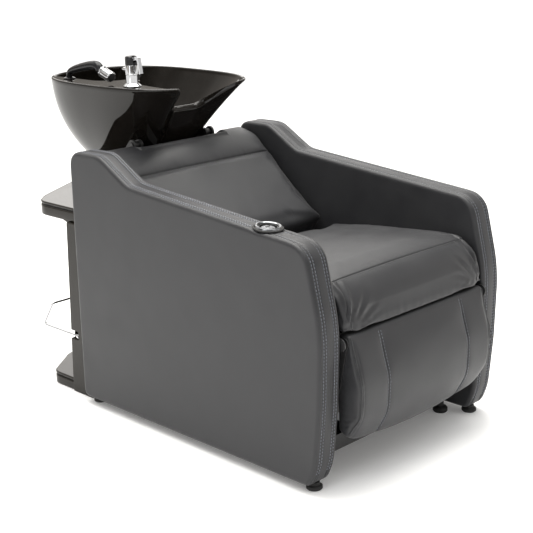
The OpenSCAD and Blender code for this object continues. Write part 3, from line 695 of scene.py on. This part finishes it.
def make_seat():
    outline = [[-312, 385, 6], [-318, 400, 6], [-372, 455, 14], [-555, 482, 300], [-829, 503, 30],
               [-876, 466, 50], [-901, 384.5, 4]]
    seam = (-838, 495)
    pad = Pad(outline, [(-312, 385), (-366, 446), (-885, 440), (-897, 387)], -273, 273, 20, 8,
              x_spots=(-246, 246), spots=[seam],
              depth=lambda p: np.where(p[:, 1] < 388, 0.1, 1.0))
    x, y, z = pad.points.T
    hold = (z < 388) | (np.abs(pad.ahead_of(pad.place(seam))) < 1.5)
    pad.push(7 * dome(x, 273) * smooth((z - 400) / 60))
    flush = smooth((-y - 850) / 30) * (1 - smooth((z - 430) / 50))
    pad.inflate(9 - 7 * flush, hold)
    x, y, z = pad.points.T
    s = pad.ahead_of(pad.place(seam))
    edge = np.abs(x)
    dip = -2.2 * bump_at(s, 2.0) - 0.8 * bump_at(s, 7)
    dip += 0.5 * folds(x, 3, 21) * bump_at(s, 12)
    dip += -1.6 * bump_at(edge - 246, 2.0) * smooth((z - 470) / 15) * smooth((-y - 380) / 40)
    dip = np.where(pad.mantle, dip, 0)
    # covers gathered down to a pinch at each lower front corner
    reach = np.hypot(edge - 262, z - 386)
    angle = np.degrees(np.arctan2(262 - edge, z - 380))
    near = (1 - smooth((reach - 60) / 85)) * smooth(reach / 30) * smooth((-y - 815) / 40)
    dip += np.where(y < -800, 7.0 * near * folds(angle, 11, 14), 0)
    # light pulls where the cover is tucked at the front edge
    dip += np.where(y < -860, 0.9 * folds(x, 21, 26) * (1 - smooth((z - 386) / 40)), 0)
    pad.push(dip)
    pinch = np.where(y < -800, 0.24 * bump_at(reach, 26), 0)[:, None]
    inside = np.column_stack([np.sign(x) * 242, np.full(len(x), -868.0), np.full(len(x), 408.0)])
    pad.points = pad.points + (inside - pad.points) * pinch
    # beside the arms the cover's fullness is pressed in evenly
    width = np.abs(pad.points[:, 0])
    pressed = np.where(width > 266, 266 + (width - 266) * 0.45, width)
    pad.points[:, 0] = np.sign(pad.points[:, 0]) * pressed
    pad.make("seat_cover", "chair", "seat_cushion")
    stitch_seam("seat_stitching", pad, pad.place(seam) + 4.5)


def make_backrest():
    outline = [[-355, 474, 14], [-86, 688, 70], [-6, 704, 18], [-6, 646, 6], [-309, 412, 10]]
    seam = (-141, 640)
    pad = Pad(outline, [(-8, 646), (-309, 412), (-350, 473), (-10, 700)], -272, 272, 20, 8,
              x_spots=(-165, 165), spots=[seam], depth=lambda p: np.where(
                  (p[:, 1] - 411) * 305 < (p[:, 0] + 309) * 235 + 1800, 0.15, 1.0))
    x, y, z = pad.points.T
    s = pad.ahead_of(pad.place(seam))
    front = smooth(((z - 411) * 305 - (y + 309) * 235) / 8000)
    pad.push(4.5 * dome(x, 272) * front)
    hold = (front < 0.25) | (np.abs(s) < 1.5)
    pad.inflate(8, hold)
    dip = -2.4 * bump_at(s, 2.0) - 1.0 * bump_at(s, 8)
    dip += 0.6 * folds(x, 8, 24) * bump_at(s, 15)
    for at in (-92, 48):
        dip -= 1.6 * bump_at(x - at, 9) * bump_at(s - 4, 12)
    dip += 0.5 * folds(y + x * 0.4, 31, 48) * smooth((np.abs(x) - 200) / 60) * front
    pad.push(np.where(pad.mantle, dip, 0))
    # room for the basin's yoke behind the top
    x, y = pad.points[:, 0], pad.points[:, 1]
    middle_part = 1 - smooth((np.abs(x) - 161) / 8)
    squeezed = np.where(y > -79, -79 + (y + 79) * 20 / 76, y)
    pad.points[:, 1] = y + (squeezed - y) * middle_part
    pad.make("backrest_cover", "chair", "backrest_cushion")
    stitch_seam("backrest_stitching", pad, pad.place(seam) - 4.5)


def make_back_panel():
    outline = [[-18, 61, 4], [-1.5, 61, 4], [-1.5, 591, 4], [-18, 591, 4]]
    pad = Pad(outline, [(-18, 61), (-1.5, 61), (-1.5, 591), (-18, 591)], -277.5, 277.5, 4, 18,
              x_spots=(-262, 262))
    x, y, z = pad.points.T
    rear = y > -3
    dip = np.where(rear, -1.2 * bump_at(np.abs(x) - 262, 2), 0)
    dip += np.where(rear, 0.5 * folds(x + z * 0.3, 2, 70) * (1 - smooth((np.abs(x) - 200) / 60)), 0)
    pad.push(dip)
    pad.make("back_panel_cover", "chair", "back_panel")


HINGE, SWING_R = (-886.0, 361.0), 21.8      # the legrest's hinge, and what clears the seat above it


def make_legrest():
    outline = [[-868, 380, 4], [-901, 380.5, 6], [-937, 262, 90], [-933, 180, 66], [-893, 115, 14],
               [-868, 123, 6]]
    hw = 260.0
    seams = 158.0
    pad = Pad(outline, [(-868, 123), (-868, 379), (-899, 379), (-896, 117)], -hw, hw, 10, 8,
              x_spots=(-seams, seams, -hw + 13, hw - 13),
              depth=lambda p: np.clip((-868 - p[:, 0]) / 40, 0.03, 1.0))
    x, y, z = pad.points.T
    front = smooth((-875 - y) / 12)
    hold = (front < 0.3) | (np.abs(np.abs(x) - seams) < 1.5) | (z > 376)
    pad.inflate(7, hold)
    edge = np.abs(x)
    dip = -2.0 * bump_at(edge - seams, 2.0) - 1.0 * bump_at(edge - seams, 8)
    dip += 0.55 * folds(z, 12, 22) * bump_at(edge - seams, 12)
    dip += 2.0 * dome(x, seams)
    # boxing gathered along each side
    gather = folds(z + 0.35 * y, 17, 15)
    dip += 1.5 * smooth((edge - 236) / 14) * gather
    dip -= 1.2 * bump_at(edge - (hw - 13), 3)
    boxing = ~pad.mantle & (np.abs(y + 905) < 34)
    dip += 0.7 * folds(x, 41, 20) * smooth((z - 345) / 20) * (1 - smooth((z - 368) / 8))
    dip *= 1 - 0.85 * smooth((z - 325) / 30)
    pad.push(np.where(pad.mantle, dip, np.where(boxing, 3.4 * gather - 1.2, 0)) * front)
    # lower corners drawn up, and the lower edge bowed
    x, z = pad.points[:, 0], pad.points[:, 2]
    low = 1 - smooth((z - 118) / 110)
    over = np.clip(np.abs(x) - (hw - 44), 0, 43.9)
    lift = (44 - np.sqrt(44 ** 2 - over ** 2)) * 0.5
    pad.points[:, 2] = z + low * (lift - 17 * dome(x, hw))
    pad.points[:, 0] = np.clip(pad.points[:, 0], -hw - 2.5, hw + 2.5)
    pad.points[:, 2] = np.minimum(pad.points[:, 2], 381.0)
    arm = pad.points[:, 1:] - np.array(HINGE)
    away = np.linalg.norm(arm, axis=1)
    over_top = (arm[:, 0] < 0) & (arm[:, 1] > 0) & (away > SWING_R)
    drawn_in = HINGE + arm * (SWING_R / away)[:, None]
    pad.points[:, 1:] = np.where(over_top[:, None], drawn_in, pad.points[:, 1:])
    pad.make("legrest_cover", "legrest", "legrest_pad")
    runs = []
    for at in (-seams, seams):
        for shift in (-4.5, 4.5):
            path, normal = pad.column(at + shift, 0.4)
            idx = np.nonzero((path[:, 1] < -885) & (path[:, 2] > 122) & (path[:, 2] < 374))[0]
            runs.append((path[idx], normal[idx]))
    # the legrest's stitching in light thread paints the highlight along its seams
    stitches("legrest_stitching", runs, "legrest", 0.6, THREAD_AND_HIGHLIGHT)
    for tag, at in (("right", 5 - hw), ("left", hw - 5)):
        path, normal = pad.column(at, 0.2)
        idx = np.nonzero((path[:, 1] < -897) & (path[:, 2] > 124) & (path[:, 2] < 375))[0]
        tube("legrest_piping_" + tag, path[idx], 1.9, VINYL, "legrest", 10)


# ---------------------------------------------------------------- basin

RIM_Z, RIM_A, RIM_B, POWER = 868.0, 216.8, 300.2, 2.7
DEPTH, BASE_Z, WALL = 240.0, 628.0, 10.0
DROP, DENT = 68.0, 56.0     # how far the neck rest dips, and how far it is set in
COVE_Z, FLOOR_Z = 652, 640  # where the wall turns into the floor inside, and the floor
DRAIN_Y, DRAIN_R = 154, 25.3


def power(c):
    """One axis of the rim's superellipse."""
    return math.copysign(abs(c) ** (2 / POWER), c)


def taper(t):
    return 1 - 0.42 * t + 0.042 * t * t - 0.161 * t ** 3


def middle(t):
    return 77.9 + 179.8 * t - 103.7 * t * t


def rim_top(angle):
    """The rim's height, and how far into the neck rest it is, 0 to 1."""
    c, s = power(math.cos(angle)), power(math.sin(angle))
    near = float(smooth((125 - abs(RIM_A * c)) / 75)) if s < 0 else 0.0
    return RIM_Z - DROP * near, near


def lip_height(near):
    return 5 + 10 * near


def basin_point(angle, z, inset):
    """A point of the basin's wall at height z, inset from its outer face."""
    c, s = power(math.cos(angle)), power(math.sin(angle))
    top, near = rim_top(angle)
    t = (RIM_Z - z) / DEPTH
    k = taper(t)
    share = (top - z) / (top - BASE_Z)
    lip = inset * (1 + 2.1 * near * max(0.0, 1 - 4 * max(0.0, share)))
    dent = DENT * near * max(0.0, 1 - (t / 0.75) ** 2)
    return np.array([(RIM_A * k - lip) * c, middle(t) + (RIM_B * k - lip) * s + dent, z])


def make_basin():
    count = 208
    turn = []
    for i in range(count):
        # more places round the neck rest, where the lip bends most
        q = i / count * 2 * math.pi
        turn.append(q + 0.22 * math.sin(2 * (q + math.pi / 2)) * (1 if q > math.pi else 0))
    rings = []
    holes = [np.array([DRAIN_R * math.cos(a), DRAIN_Y + DRAIN_R * math.sin(a), 0]) for a in turn]

    def ring(fn):
        rings.append([fn(i, a) for i, a in enumerate(turn)])

    def floor_ring(w, z, wall_z, inset):
        def fn(i, a):
            edge = basin_point(a, wall_z, inset)
            p = edge * (1 - w) + holes[i] * w
            return np.array([p[0], p[1], z])
        return fn

    ring(floor_ring(1.0, FLOOR_Z, COVE_Z, WALL))
    ring(floor_ring(1.0, BASE_Z, BASE_Z, 0))
    for w in (0.7, 0.4, 0.15, 0.05):
        ring(floor_ring(w, BASE_Z, BASE_Z, 0))
    for v in np.linspace(0, 1, 30)[::-1]:
        def fn(i, a, v=v):
            top, near = rim_top(a)
            high = top - lip_height(near)
            return basin_point(a, BASE_Z + (high - BASE_Z) * (1 - v), 0)
        ring(fn)
    for q in range(15, 180, 15):
        def fn(i, a, q=math.radians(q)):
            top, near = rim_top(a)
            h = lip_height(near)
            out, inn = basin_point(a, top - h, 0), basin_point(a, top - h, WALL)
            p = out + (inn - out) * (1 - math.cos(q)) / 2
            p[2] = top - h + h * math.sin(q)
            return p
        ring(fn)
    for v in np.linspace(0, 1, 34):
        def fn(i, a, v=v):
            top, near = rim_top(a)
            high = top - lip_height(near)
            return basin_point(a, high + (COVE_Z - high) * v, WALL)
        ring(fn)
    for w, z in ((0.02, 647), (0.055, 643.5), (0.11, 641.3), (0.18, 640.2), (0.3, FLOOR_Z), (0.5, FLOOR_Z),
                 (0.75, FLOOR_Z)):
        ring(floor_ring(w, z, COVE_Z, WALL))
    points = [p for r in rings for p in r]
    piece = new_object("basin_shell", np.array(points), skin(len(rings), count, True), CERAMIC, "basin")
    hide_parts("bowl")


# The deck's free edge, from the basin's back to its right horn
DECK = [[-132, 340, 0], [-128, 150, 50], [-100, 104, 30], [-42, 90, 12], [-42, 58, 12], [-100, 20, 40],
        [-116, -90, 60], [-126, -240, 0]]
DECK_Z, DECK_ROUND = 865.0, 6.0


def inside_height(x, y):
    """Height of the basin's inner surface below (x, y), found by halving."""
    low, high = float(COVE_Z), DECK_Z
    for _ in range(24):
        z = (low + high) / 2
        t = (RIM_Z - z) / DEPTH
        u = abs(x) / (RIM_A * taper(t) - WALL)
        v = abs(y - middle(t)) / (RIM_B * taper(t) - WALL)
        if u ** POWER + v ** POWER > 1:
            low = z
        else:
            high = z
    return high


def deck_section(y, x_rim, x_edge):
    """The deck's closed outline at y: flat top, rounded edge, skirt, and back up inside the wall."""
    foot = inside_height(x_edge, y) - 4
    r = min(DECK_ROUND, 0.4 * (x_edge - x_rim), 0.5 * (DECK_Z - foot))
    turn = np.linspace(0, math.pi / 2, 9)
    top = [(x, DECK_Z) for x in np.linspace(x_rim, x_edge - r, 12)[:-1]]
    edge = [(x_edge - r + r * math.sin(q), DECK_Z - r + r * math.cos(q)) for q in turn]
    skirt = [(x_edge, z) for z in np.linspace(DECK_Z - r, foot, 8)[1:]]
    under = [(x, inside_height(x, y) - 4) for x in np.linspace(x_edge, x_rim, 14)[1:]]
    return [(x, y, z) for x, z in top + edge + skirt + under]


def make_deck():
    """The flat deck in the basin's right side, filling down to the basin's wall."""
    line = [np.array(DECK[0][:2], float)]
    for a, p, b in zip(DECK, DECK[1:], DECK[2:]):
        line += arc(a, p, b, p[2], 18)
    line = np.array(line + [np.array(DECK[-1][:2], float)])[::-1]
    t = (RIM_Z - DECK_Z) / DEPTH
    half_x, half_y = RIM_A * taper(t) - WALL / 2, RIM_B * taper(t) - WALL / 2
    sections = []
    for y in np.unique(np.concatenate([np.arange(-230, 372, 3.0), np.arange(14, 108, 1.2)])):
        along = abs(y - middle(t)) / half_y
        x_rim = -half_x * max(0.0, 1 - along ** POWER) ** (1 / POWER)
        x_edge = float(np.interp(y, line[:, 1], line[:, 0]))
        if x_edge - x_rim > 3:
            sections.append(deck_section(y, x_rim, x_edge))
    size = len(sections), len(sections[0])
    new_object("basin_deck", np.concatenate(sections), ends(*size) + skin(*size), CERAMIC, "basin",
               sharp=50)


def make_handset():
    spine = np.array([(246, 866, 8.6), (246, 877, 8.6), (241, 886, 9), (228, 891, 10), (210, 896, 11.4),
                      (172, 905, 12.6), (132, 912, 13), (112, 912, 12.8), (104, 904, 12.2),
                      (103, 901, 11.8)], float)
    s = np.linspace(0, 1, len(spine))
    fine = np.linspace(0, 1, 60)
    y, z, r = (np.interp(fine, s, spine[:, k]) for k in range(3))
    for _ in range(14):
        for v in (y, z, r):
            v[1:-1] = (v[:-2] + 2 * v[1:-1] + v[2:]) / 4
    path = np.column_stack([np.full(60, float(MIXER_X)), y, z])
    grip = tube("handset_handle", path, r, PLASTIC_GLOSS, "handset", 40)
    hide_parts("handset_grip")


# ---------------------------------------------------------------- turned, bent and plate parts

def at(x, y, z, turn_x=0.0):
    """A place in millimetres, turned about X in degrees."""
    return Matrix.Translation((x, y, z)) @ Matrix.Rotation(math.radians(turn_x), 4, "X")


def soften(profile, r, closed):
    """The profile of (radius, height) points with its corners rounded."""
    pts = [np.array(p, float) for p in profile]
    out = []
    for i, p in enumerate(pts):
        a, b = pts[i - 1], pts[(i + 1) % len(pts)]
        if not closed and i in (0, len(pts) - 1):
            out.append(p)
            continue
        room = 0.45 * min(np.linalg.norm(a - p), np.linalg.norm(b - p))
        u, v = unit(a - p), unit(b - p)
        half = math.acos(max(-1, min(1, float(u @ v)))) / 2
        out += arc(a, p, b, min(r, room * math.tan(half)), 4)
    return out


def lathe(name, profile, where, mat, body, replaced, r, closed=False):
    """A turned part; its profile runs from axis to axis, or round a closed section."""
    segments = 96
    ring_points = soften(profile, r, closed)
    points, faces, starts = [], [], []
    for radius, height in ring_points:
        starts.append(len(points))
        if radius < 1e-6:
            points.append(where @ Vector((0, 0, height)))
        else:
            for k in range(segments):
                a = 2 * math.pi * k / segments
                points.append(where @ Vector((radius * math.cos(a), radius * math.sin(a), height)))
    m = len(ring_points)
    for j in range(m if closed else m - 1):
        a, b = starts[j], starts[(j + 1) % m]
        one, two = ring_points[j][0] < 1e-6, ring_points[(j + 1) % m][0] < 1e-6
        for k in range(segments):
            n = (k + 1) % segments
            if one and not two:
                faces.append((a, b + n, b + k))
            elif two and not one:
                faces.append((a + k, a + n, b))
            elif not one:
                faces.append((a + k, a + n, b + n, b + k))
    piece = new_object(name, np.array([tuple(p) for p in points]), faces, mat, body, sharp=40)
    if replaced:
        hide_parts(replaced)
    return piece


def bend(points, r):
    """A 3-D path with its corners bent to a radius."""
    steps = 10
    pts = [np.array(p, float) for p in points]
    out = [pts[0]]
    for a, p, b in zip(pts, pts[1:], pts[2:]):
        u, v = unit(a - p), unit(b - p)
        half = math.acos(float(u @ v)) / 2
        c = p + unit(u + v) * r / math.sin(half)
        p0, p1 = p + u * r / math.tan(half) - c, p + v * r / math.tan(half) - c
        swing = math.acos(float(p0 @ p1) / r / r)
        for i in range(steps + 1):
            q = i / steps
            out.append(c + (math.sin((1 - q) * swing) * p0 + math.sin(q * swing) * p1)
                       / math.sin(swing))
    out.append(pts[-1])
    return np.array(out)


def plate(name, corners, z0, z1, mat, replaced, r, shrink=0.0):
    """A flat moulded plate with rounded edges over a plan outline."""
    step = 9.0
    edge = rounded(corners, 24)
    closed = np.vstack([edge, edge[:1]])
    n = int(lengths(closed)[-1] / step)
    sharp_at = [nearest_length(closed, c[:2]) for c in corners if c[2] == 0]
    places = np.linspace(0, lengths(closed)[-1], n + 1)[:-1]
    places = [v for v in places if all(abs(v - c) > 0.5 * step for c in sharp_at)]
    places = np.array(sorted(set(np.round(np.concatenate([places, sharp_at]), 3))))
    edge = sample(closed, places)
    n = len(edge)
    ahead, behind = np.roll(edge, -1, 0), np.roll(edge, 1, 0)
    area = 0.5 * np.sum(edge[:, 0] * ahead[:, 1] - ahead[:, 0] * edge[:, 1])
    d1, d0 = units(ahead - edge), units(edge - behind)
    n1, n0 = np.stack([d1[:, 1], -d1[:, 0]], 1), np.stack([d0[:, 1], -d0[:, 0]], 1)
    out = (n1 + n0) * (1 if area > 0 else -1)
    out = out / np.sum(out * out, axis=1)[:, None] * 2
    rings = []
    q = np.linspace(0, math.pi / 2, 6)
    inner = [(r * 1.8, 0)] + [(r * (1 - math.sin(a)), r * (1 - math.cos(a))) for a in q]
    for inset, drop in inner:
        rings.append(np.column_stack([edge - out * (inset + shrink), np.full(n, z1 - drop)]))
    for inset, drop in inner[::-1]:
        rings.append(np.column_stack([edge - out * (inset + shrink), np.full(n, z0 + drop)]))
    faces = ends(len(rings), n) + skin(len(rings), n)
    piece = new_object(name, np.concatenate(rings), faces, mat, "chair", sharp=50)
    if replaced:
        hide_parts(replaced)


def make_fittings():
    mixer = at(MIXER_X, MIXER_Y, DECK_Z)
    lathe("mixer_stem", [(0, -20), (15.9, -20), (15.9, 0), (25, 0), (25, 3), (20, 7), (17, 10), (17, 30),
                         (17, 31), (17.6, 31.6), (17.6, 34.4), (17, 35), (17, 58), (0, 58)],
          mixer, CHROME, "basin", "mixer_body", 1.2)
    tube("mixer_outlet", [(MIXER_X, y, 910) for y in (MIXER_Y, -20, -8, -4.5)],
         [6, 6, 6, 5.6], CHROME, "basin", 40)
    cap = lathe("mixer_head", [(0, 58.3), (17, 58.3), (17, 78), (14, 82), (0, 84)], mixer, PLASTIC_GLOSS,
                "mixer_swivel", "mixer_cap", 1.5)
    # the lever's slot in the cap
    cutter = bpy.data.meshes.new("slot")
    low, high = (-156.3, -60, 931), (-143.7, -40.5, 960)
    corners = [(x, y, z) for x in (low[0], high[0]) for y in (low[1], high[1]) for z in (low[2], high[2])]
    cutter.from_pydata([tuple(p) for p in row(corners)], [],
                       [(0, 1, 3, 2), (4, 6, 7, 5), (0, 4, 5, 1), (2, 3, 7, 6), (0, 2, 6, 4), (1, 5, 7, 3)])
    tool = add("slot", cutter)
    cut = cap.modifiers.new("slot", "BOOLEAN")
    cut.operation, cut.solver, cut.object = "DIFFERENCE", "EXACT", tool
    bpy.context.view_layer.update()
    carved = bpy.data.meshes.new_from_object(cap.evaluated_get(bpy.context.evaluated_depsgraph_get()))
    cap.modifiers.clear()
    cap.data = carved
    cap.data.set_sharp_from_angle(angle=math.radians(35))
    bpy.data.objects.remove(tool)

    lathe("hose_holder", [(8.7, -12), (14, -12), (14, 0), (18, 0), (17, 3), (12, 5), (8.7, 4)],
          at(MIXER_X, 246, DECK_Z), PLASTIC_GLOSS, "basin", "handset_holder", 0.8, True)
    dip = math.radians(20)
    head = at(MIXER_X, 103 - 12.1 * math.cos(dip), 901 - 12.1 * math.sin(dip), 110)
    lathe("spray_collar", [(0, 0), (13, 0), (16, 1.2), (16, 4.8), (15, 6), (0, 6)], head, CHROME, "handset",
          "handset_collar", 0.8)
    lathe("spray_button", [(0, 14.6), (3.4, 14.6), (4.2, 15.8), (4.2, 17.4), (2.6, 18.9), (0, 19.2)],
          head @ Matrix.Rotation(math.radians(-90), 4, "X") @ at(0, -3.2, 0), CHROME, "handset",
          None, 0.6)
    lathe("spray_head", [(0, 6), (13.6, 6), (15, 7.5), (14.6, 14), (15, 30), (15, 38), (13.8, 41),
                         (12.4, 42), (0, 42)],
          head, CHROME, "handset", "handset_spray", 1.5)
    lathe("spray_face", [(0, 41.9), (11.6, 41.9), (11.2, 42.5), (0, 42.7)], head, PLASTIC, "handset",
          None, 0.3)

    switch = at(SWITCH_X, SWITCH_Y, SWITCH_Z, SWITCH_TILT)
    lathe("switch_ring", [(24, -1), (28, -1), (28, 0), (33, 0), (33, 3), (30.5, 6.5), (27, 7), (24, 5)],
          switch, DARK_CHROME, "chair", "switch_bezel", 1.0, True)
    lathe("switch_gasket", [(31, -0.6), (36.6, -0.6), (36.6, 1.4), (35.4, 2.6), (32.6, 2.6), (31, 1)],
          switch, RUBBER, "chair", None, 0.5, True)
    lathe("switch_well", [(0, -36), (28, -36), (28, -1), (24, -1), (24, 3), (21, 3), (21, -12), (0, -12)],
          switch, PLASTIC, "chair", "switch_housing", 0.6)
    crown = [(r, -46 + math.sqrt(2500 - r * r)) for r in (16.4, 13, 10, 7, 4, 0)]
    lathe("switch_cap", [(0, -7.9), (14, -7.0), (18, -5.2), (18, -0.6)] + crown, switch, SATIN_METAL,
          "rocker", "switch_rocker", 1.0)
    mark = [switch @ Vector((x, y, -45.6 + math.sqrt(2500 - x * x - y * y))) for x, y in
            ((-7, 1.5), (-3.5, -0.6), (0, -1.2), (3.5, -0.6), (7, 1.5))]
    tube("switch_mark", [tuple(p) for p in mark], 0.9, PLASTIC, "rocker", 8)

    for tag, x in (("right", -1), ("left", 1)):
        for end, y in (("front", -836), ("rear", -27)):
            lathe(f"glide_{tag}_{end}", [(0, 0), (17, 0), (20, 3), (20, 9), (17.5, 11), (14, 12.5),
                                         (13, 20), (0, 20)],
                  at(x * 312, y, 0), RUBBER, "chair", "glide_feet", 1.2)
        for end, y in (("front", -780), ("rear", -140)):
            lathe(f"foot_{tag}_{end}", [(0, 0), (17, 0), (20, 3), (20, 12), (16, 16), (9.5, 18), (9, 40),
                                        (12, 41), (12, 45), (0, 45)],
                  at(x * 258, y, 0), RUBBER, "chair", "frame_feet", 1.2)
        lathe("rail_end_" + tag, [(0, 0), (7, 0), (7, 8), (5.2, 12), (0, 12)], at(x * 314, 52, 172, -90),
              CHROME, "chair", "rail_bosses", 1.2)
    half_wire = [(-314, 62, 172), (-314, 224, 172), (-314, 174, 245)]
    path = bend(half_wire + [(-x, y, z) for x, y, z in reversed(half_wire)], 9)
    rail = tube("towel_wire", path, 3.0, CHROME, "chair", 20)
    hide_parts("towel_rail")


# Plan outlines, [x, y, corner radius]
SHELF = [[-310, 2, 0], [-310, 208, 60], [-262, 252, 120], [0, 400, 260], [262, 252, 120], [310, 208, 60],
         [310, 2, 0]]
TOE = [[-316, 90, 0], [-316, 186, 40], [-196, 276, 60], [196, 276, 60], [316, 186, 40], [316, 90, 0]]


def make_pedestal():
    plate("shelf_tray", SHELF, 502, 532.6, GLOSS, "shelf_body", 5)
    # the necks are recessed near-black seals, their colour partly painted shade in the slot between tray
    # and top
    plate("shelf_neck", SHELF, 531, 537, SEAM_SHADOW, None, 0.5, shrink=4)
    plate("shelf_top", SHELF, 535.6, 543, GLOSS, "shelf_panel", 3)
    plate("toe_tray", TOE, 0, 26.6, GLOSS, "toe_body", 4)
    plate("toe_neck", TOE, 25, 31, SEAM_SHADOW, None, 0.5, shrink=4)
    plate("toe_top", TOE, 29.6, 38, GLOSS, "toe_panel", 3)
    # the cove under the shelf
    cove = [(74, 504), (74, 478)] + [(99 - 25 * math.cos(q), 477 + 25 * math.sin(q))
                                     for q in np.linspace(0.04, math.pi / 2, 12)] + [(99, 504)]
    points = []
    for x in (-309.5, -308.5, 308.5, 309.5):
        tight = 0.8 if abs(x) > 309 else 0.0
        for y, z in cove:
            points.append((x, y - tight * (1 if y > 75 else 0), z + tight * (1 if z < 500 else 0)))
    new_object("shelf_cove", np.array(points, float), skin(4, len(cove)) + ends(4, len(cove)), GLOSS,
               "chair", sharp=40)


# ---------------------------------------------------------------- finished hard parts

def refined(name, bevel):
    """The CAD node with its sharp edges broken, as moulded, cast or pressed parts have them."""
    source = nodes[name]
    bm = bmesh.new()
    bm.from_mesh(source.data)
    bmesh.ops.remove_doubles(bm, verts=bm.verts, dist=2e-6)
    bmesh.ops.dissolve_degenerate(bm, dist=1e-6, edges=bm.edges)
    bmesh.ops.dissolve_limit(bm, angle_limit=math.radians(0.3), verts=bm.verts, edges=bm.edges)
    sharp = [e for e in bm.edges if len(e.link_faces) == 2 and e.calc_face_angle(0) > math.radians(32)]
    bmesh.ops.bevel(bm, geom=sharp, offset=bevel / 1000, offset_type="OFFSET", segments=3, profile=0.5,
                    affect="EDGES", clamp_overlap=True, miter_outer="ARC")
    mesh = bpy.data.meshes.new(name + "_finished")
    bm.to_mesh(mesh)
    bm.free()
    for f in mesh.polygons:
        f.use_smooth = True
    mesh.set_sharp_from_angle(angle=math.radians(28))
    mesh.materials.append(FINISH[SLOT_OF[name]])
    piece = add(name + "_finished", mesh)
    piece.modifiers.new("Weighted", "WEIGHTED_NORMAL").keep_sharp = True
    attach(piece, source["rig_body"])
    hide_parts(name)


SLOT_OF = {entry["node"]: entry["material_slot"] for entry in frame["record"]["subparts"]}
# CAD nodes shown with broken edges, and the width of each break in millimetres
BROKEN = {"pedestal_body": 2.5, "mixer_lever": 1.4, "column_cover": 2.0, "tilt_yoke": 1.5,
          "access_panel": 0.8, "control_box": 1.5, "legrest_board": 1.5, "base_rails": 1.2,
          "bowl_saddle": 1.5, "actuator_motor": 2.0}

set_stage()
for part, width in BROKEN.items():
    refined(part, width)
make_basin()
make_deck()
make_handset()
make_fittings()
make_pedestal()
make_arm("arm_right", -1)
make_arm("arm_left", 1)
make_seat()
make_backrest()
make_back_panel()
make_legrest()

for part, slot in SLOT_OF.items():
    mesh = nodes[part].data
    mesh.materials.clear()
    mesh.materials.append(FINISH[slot])
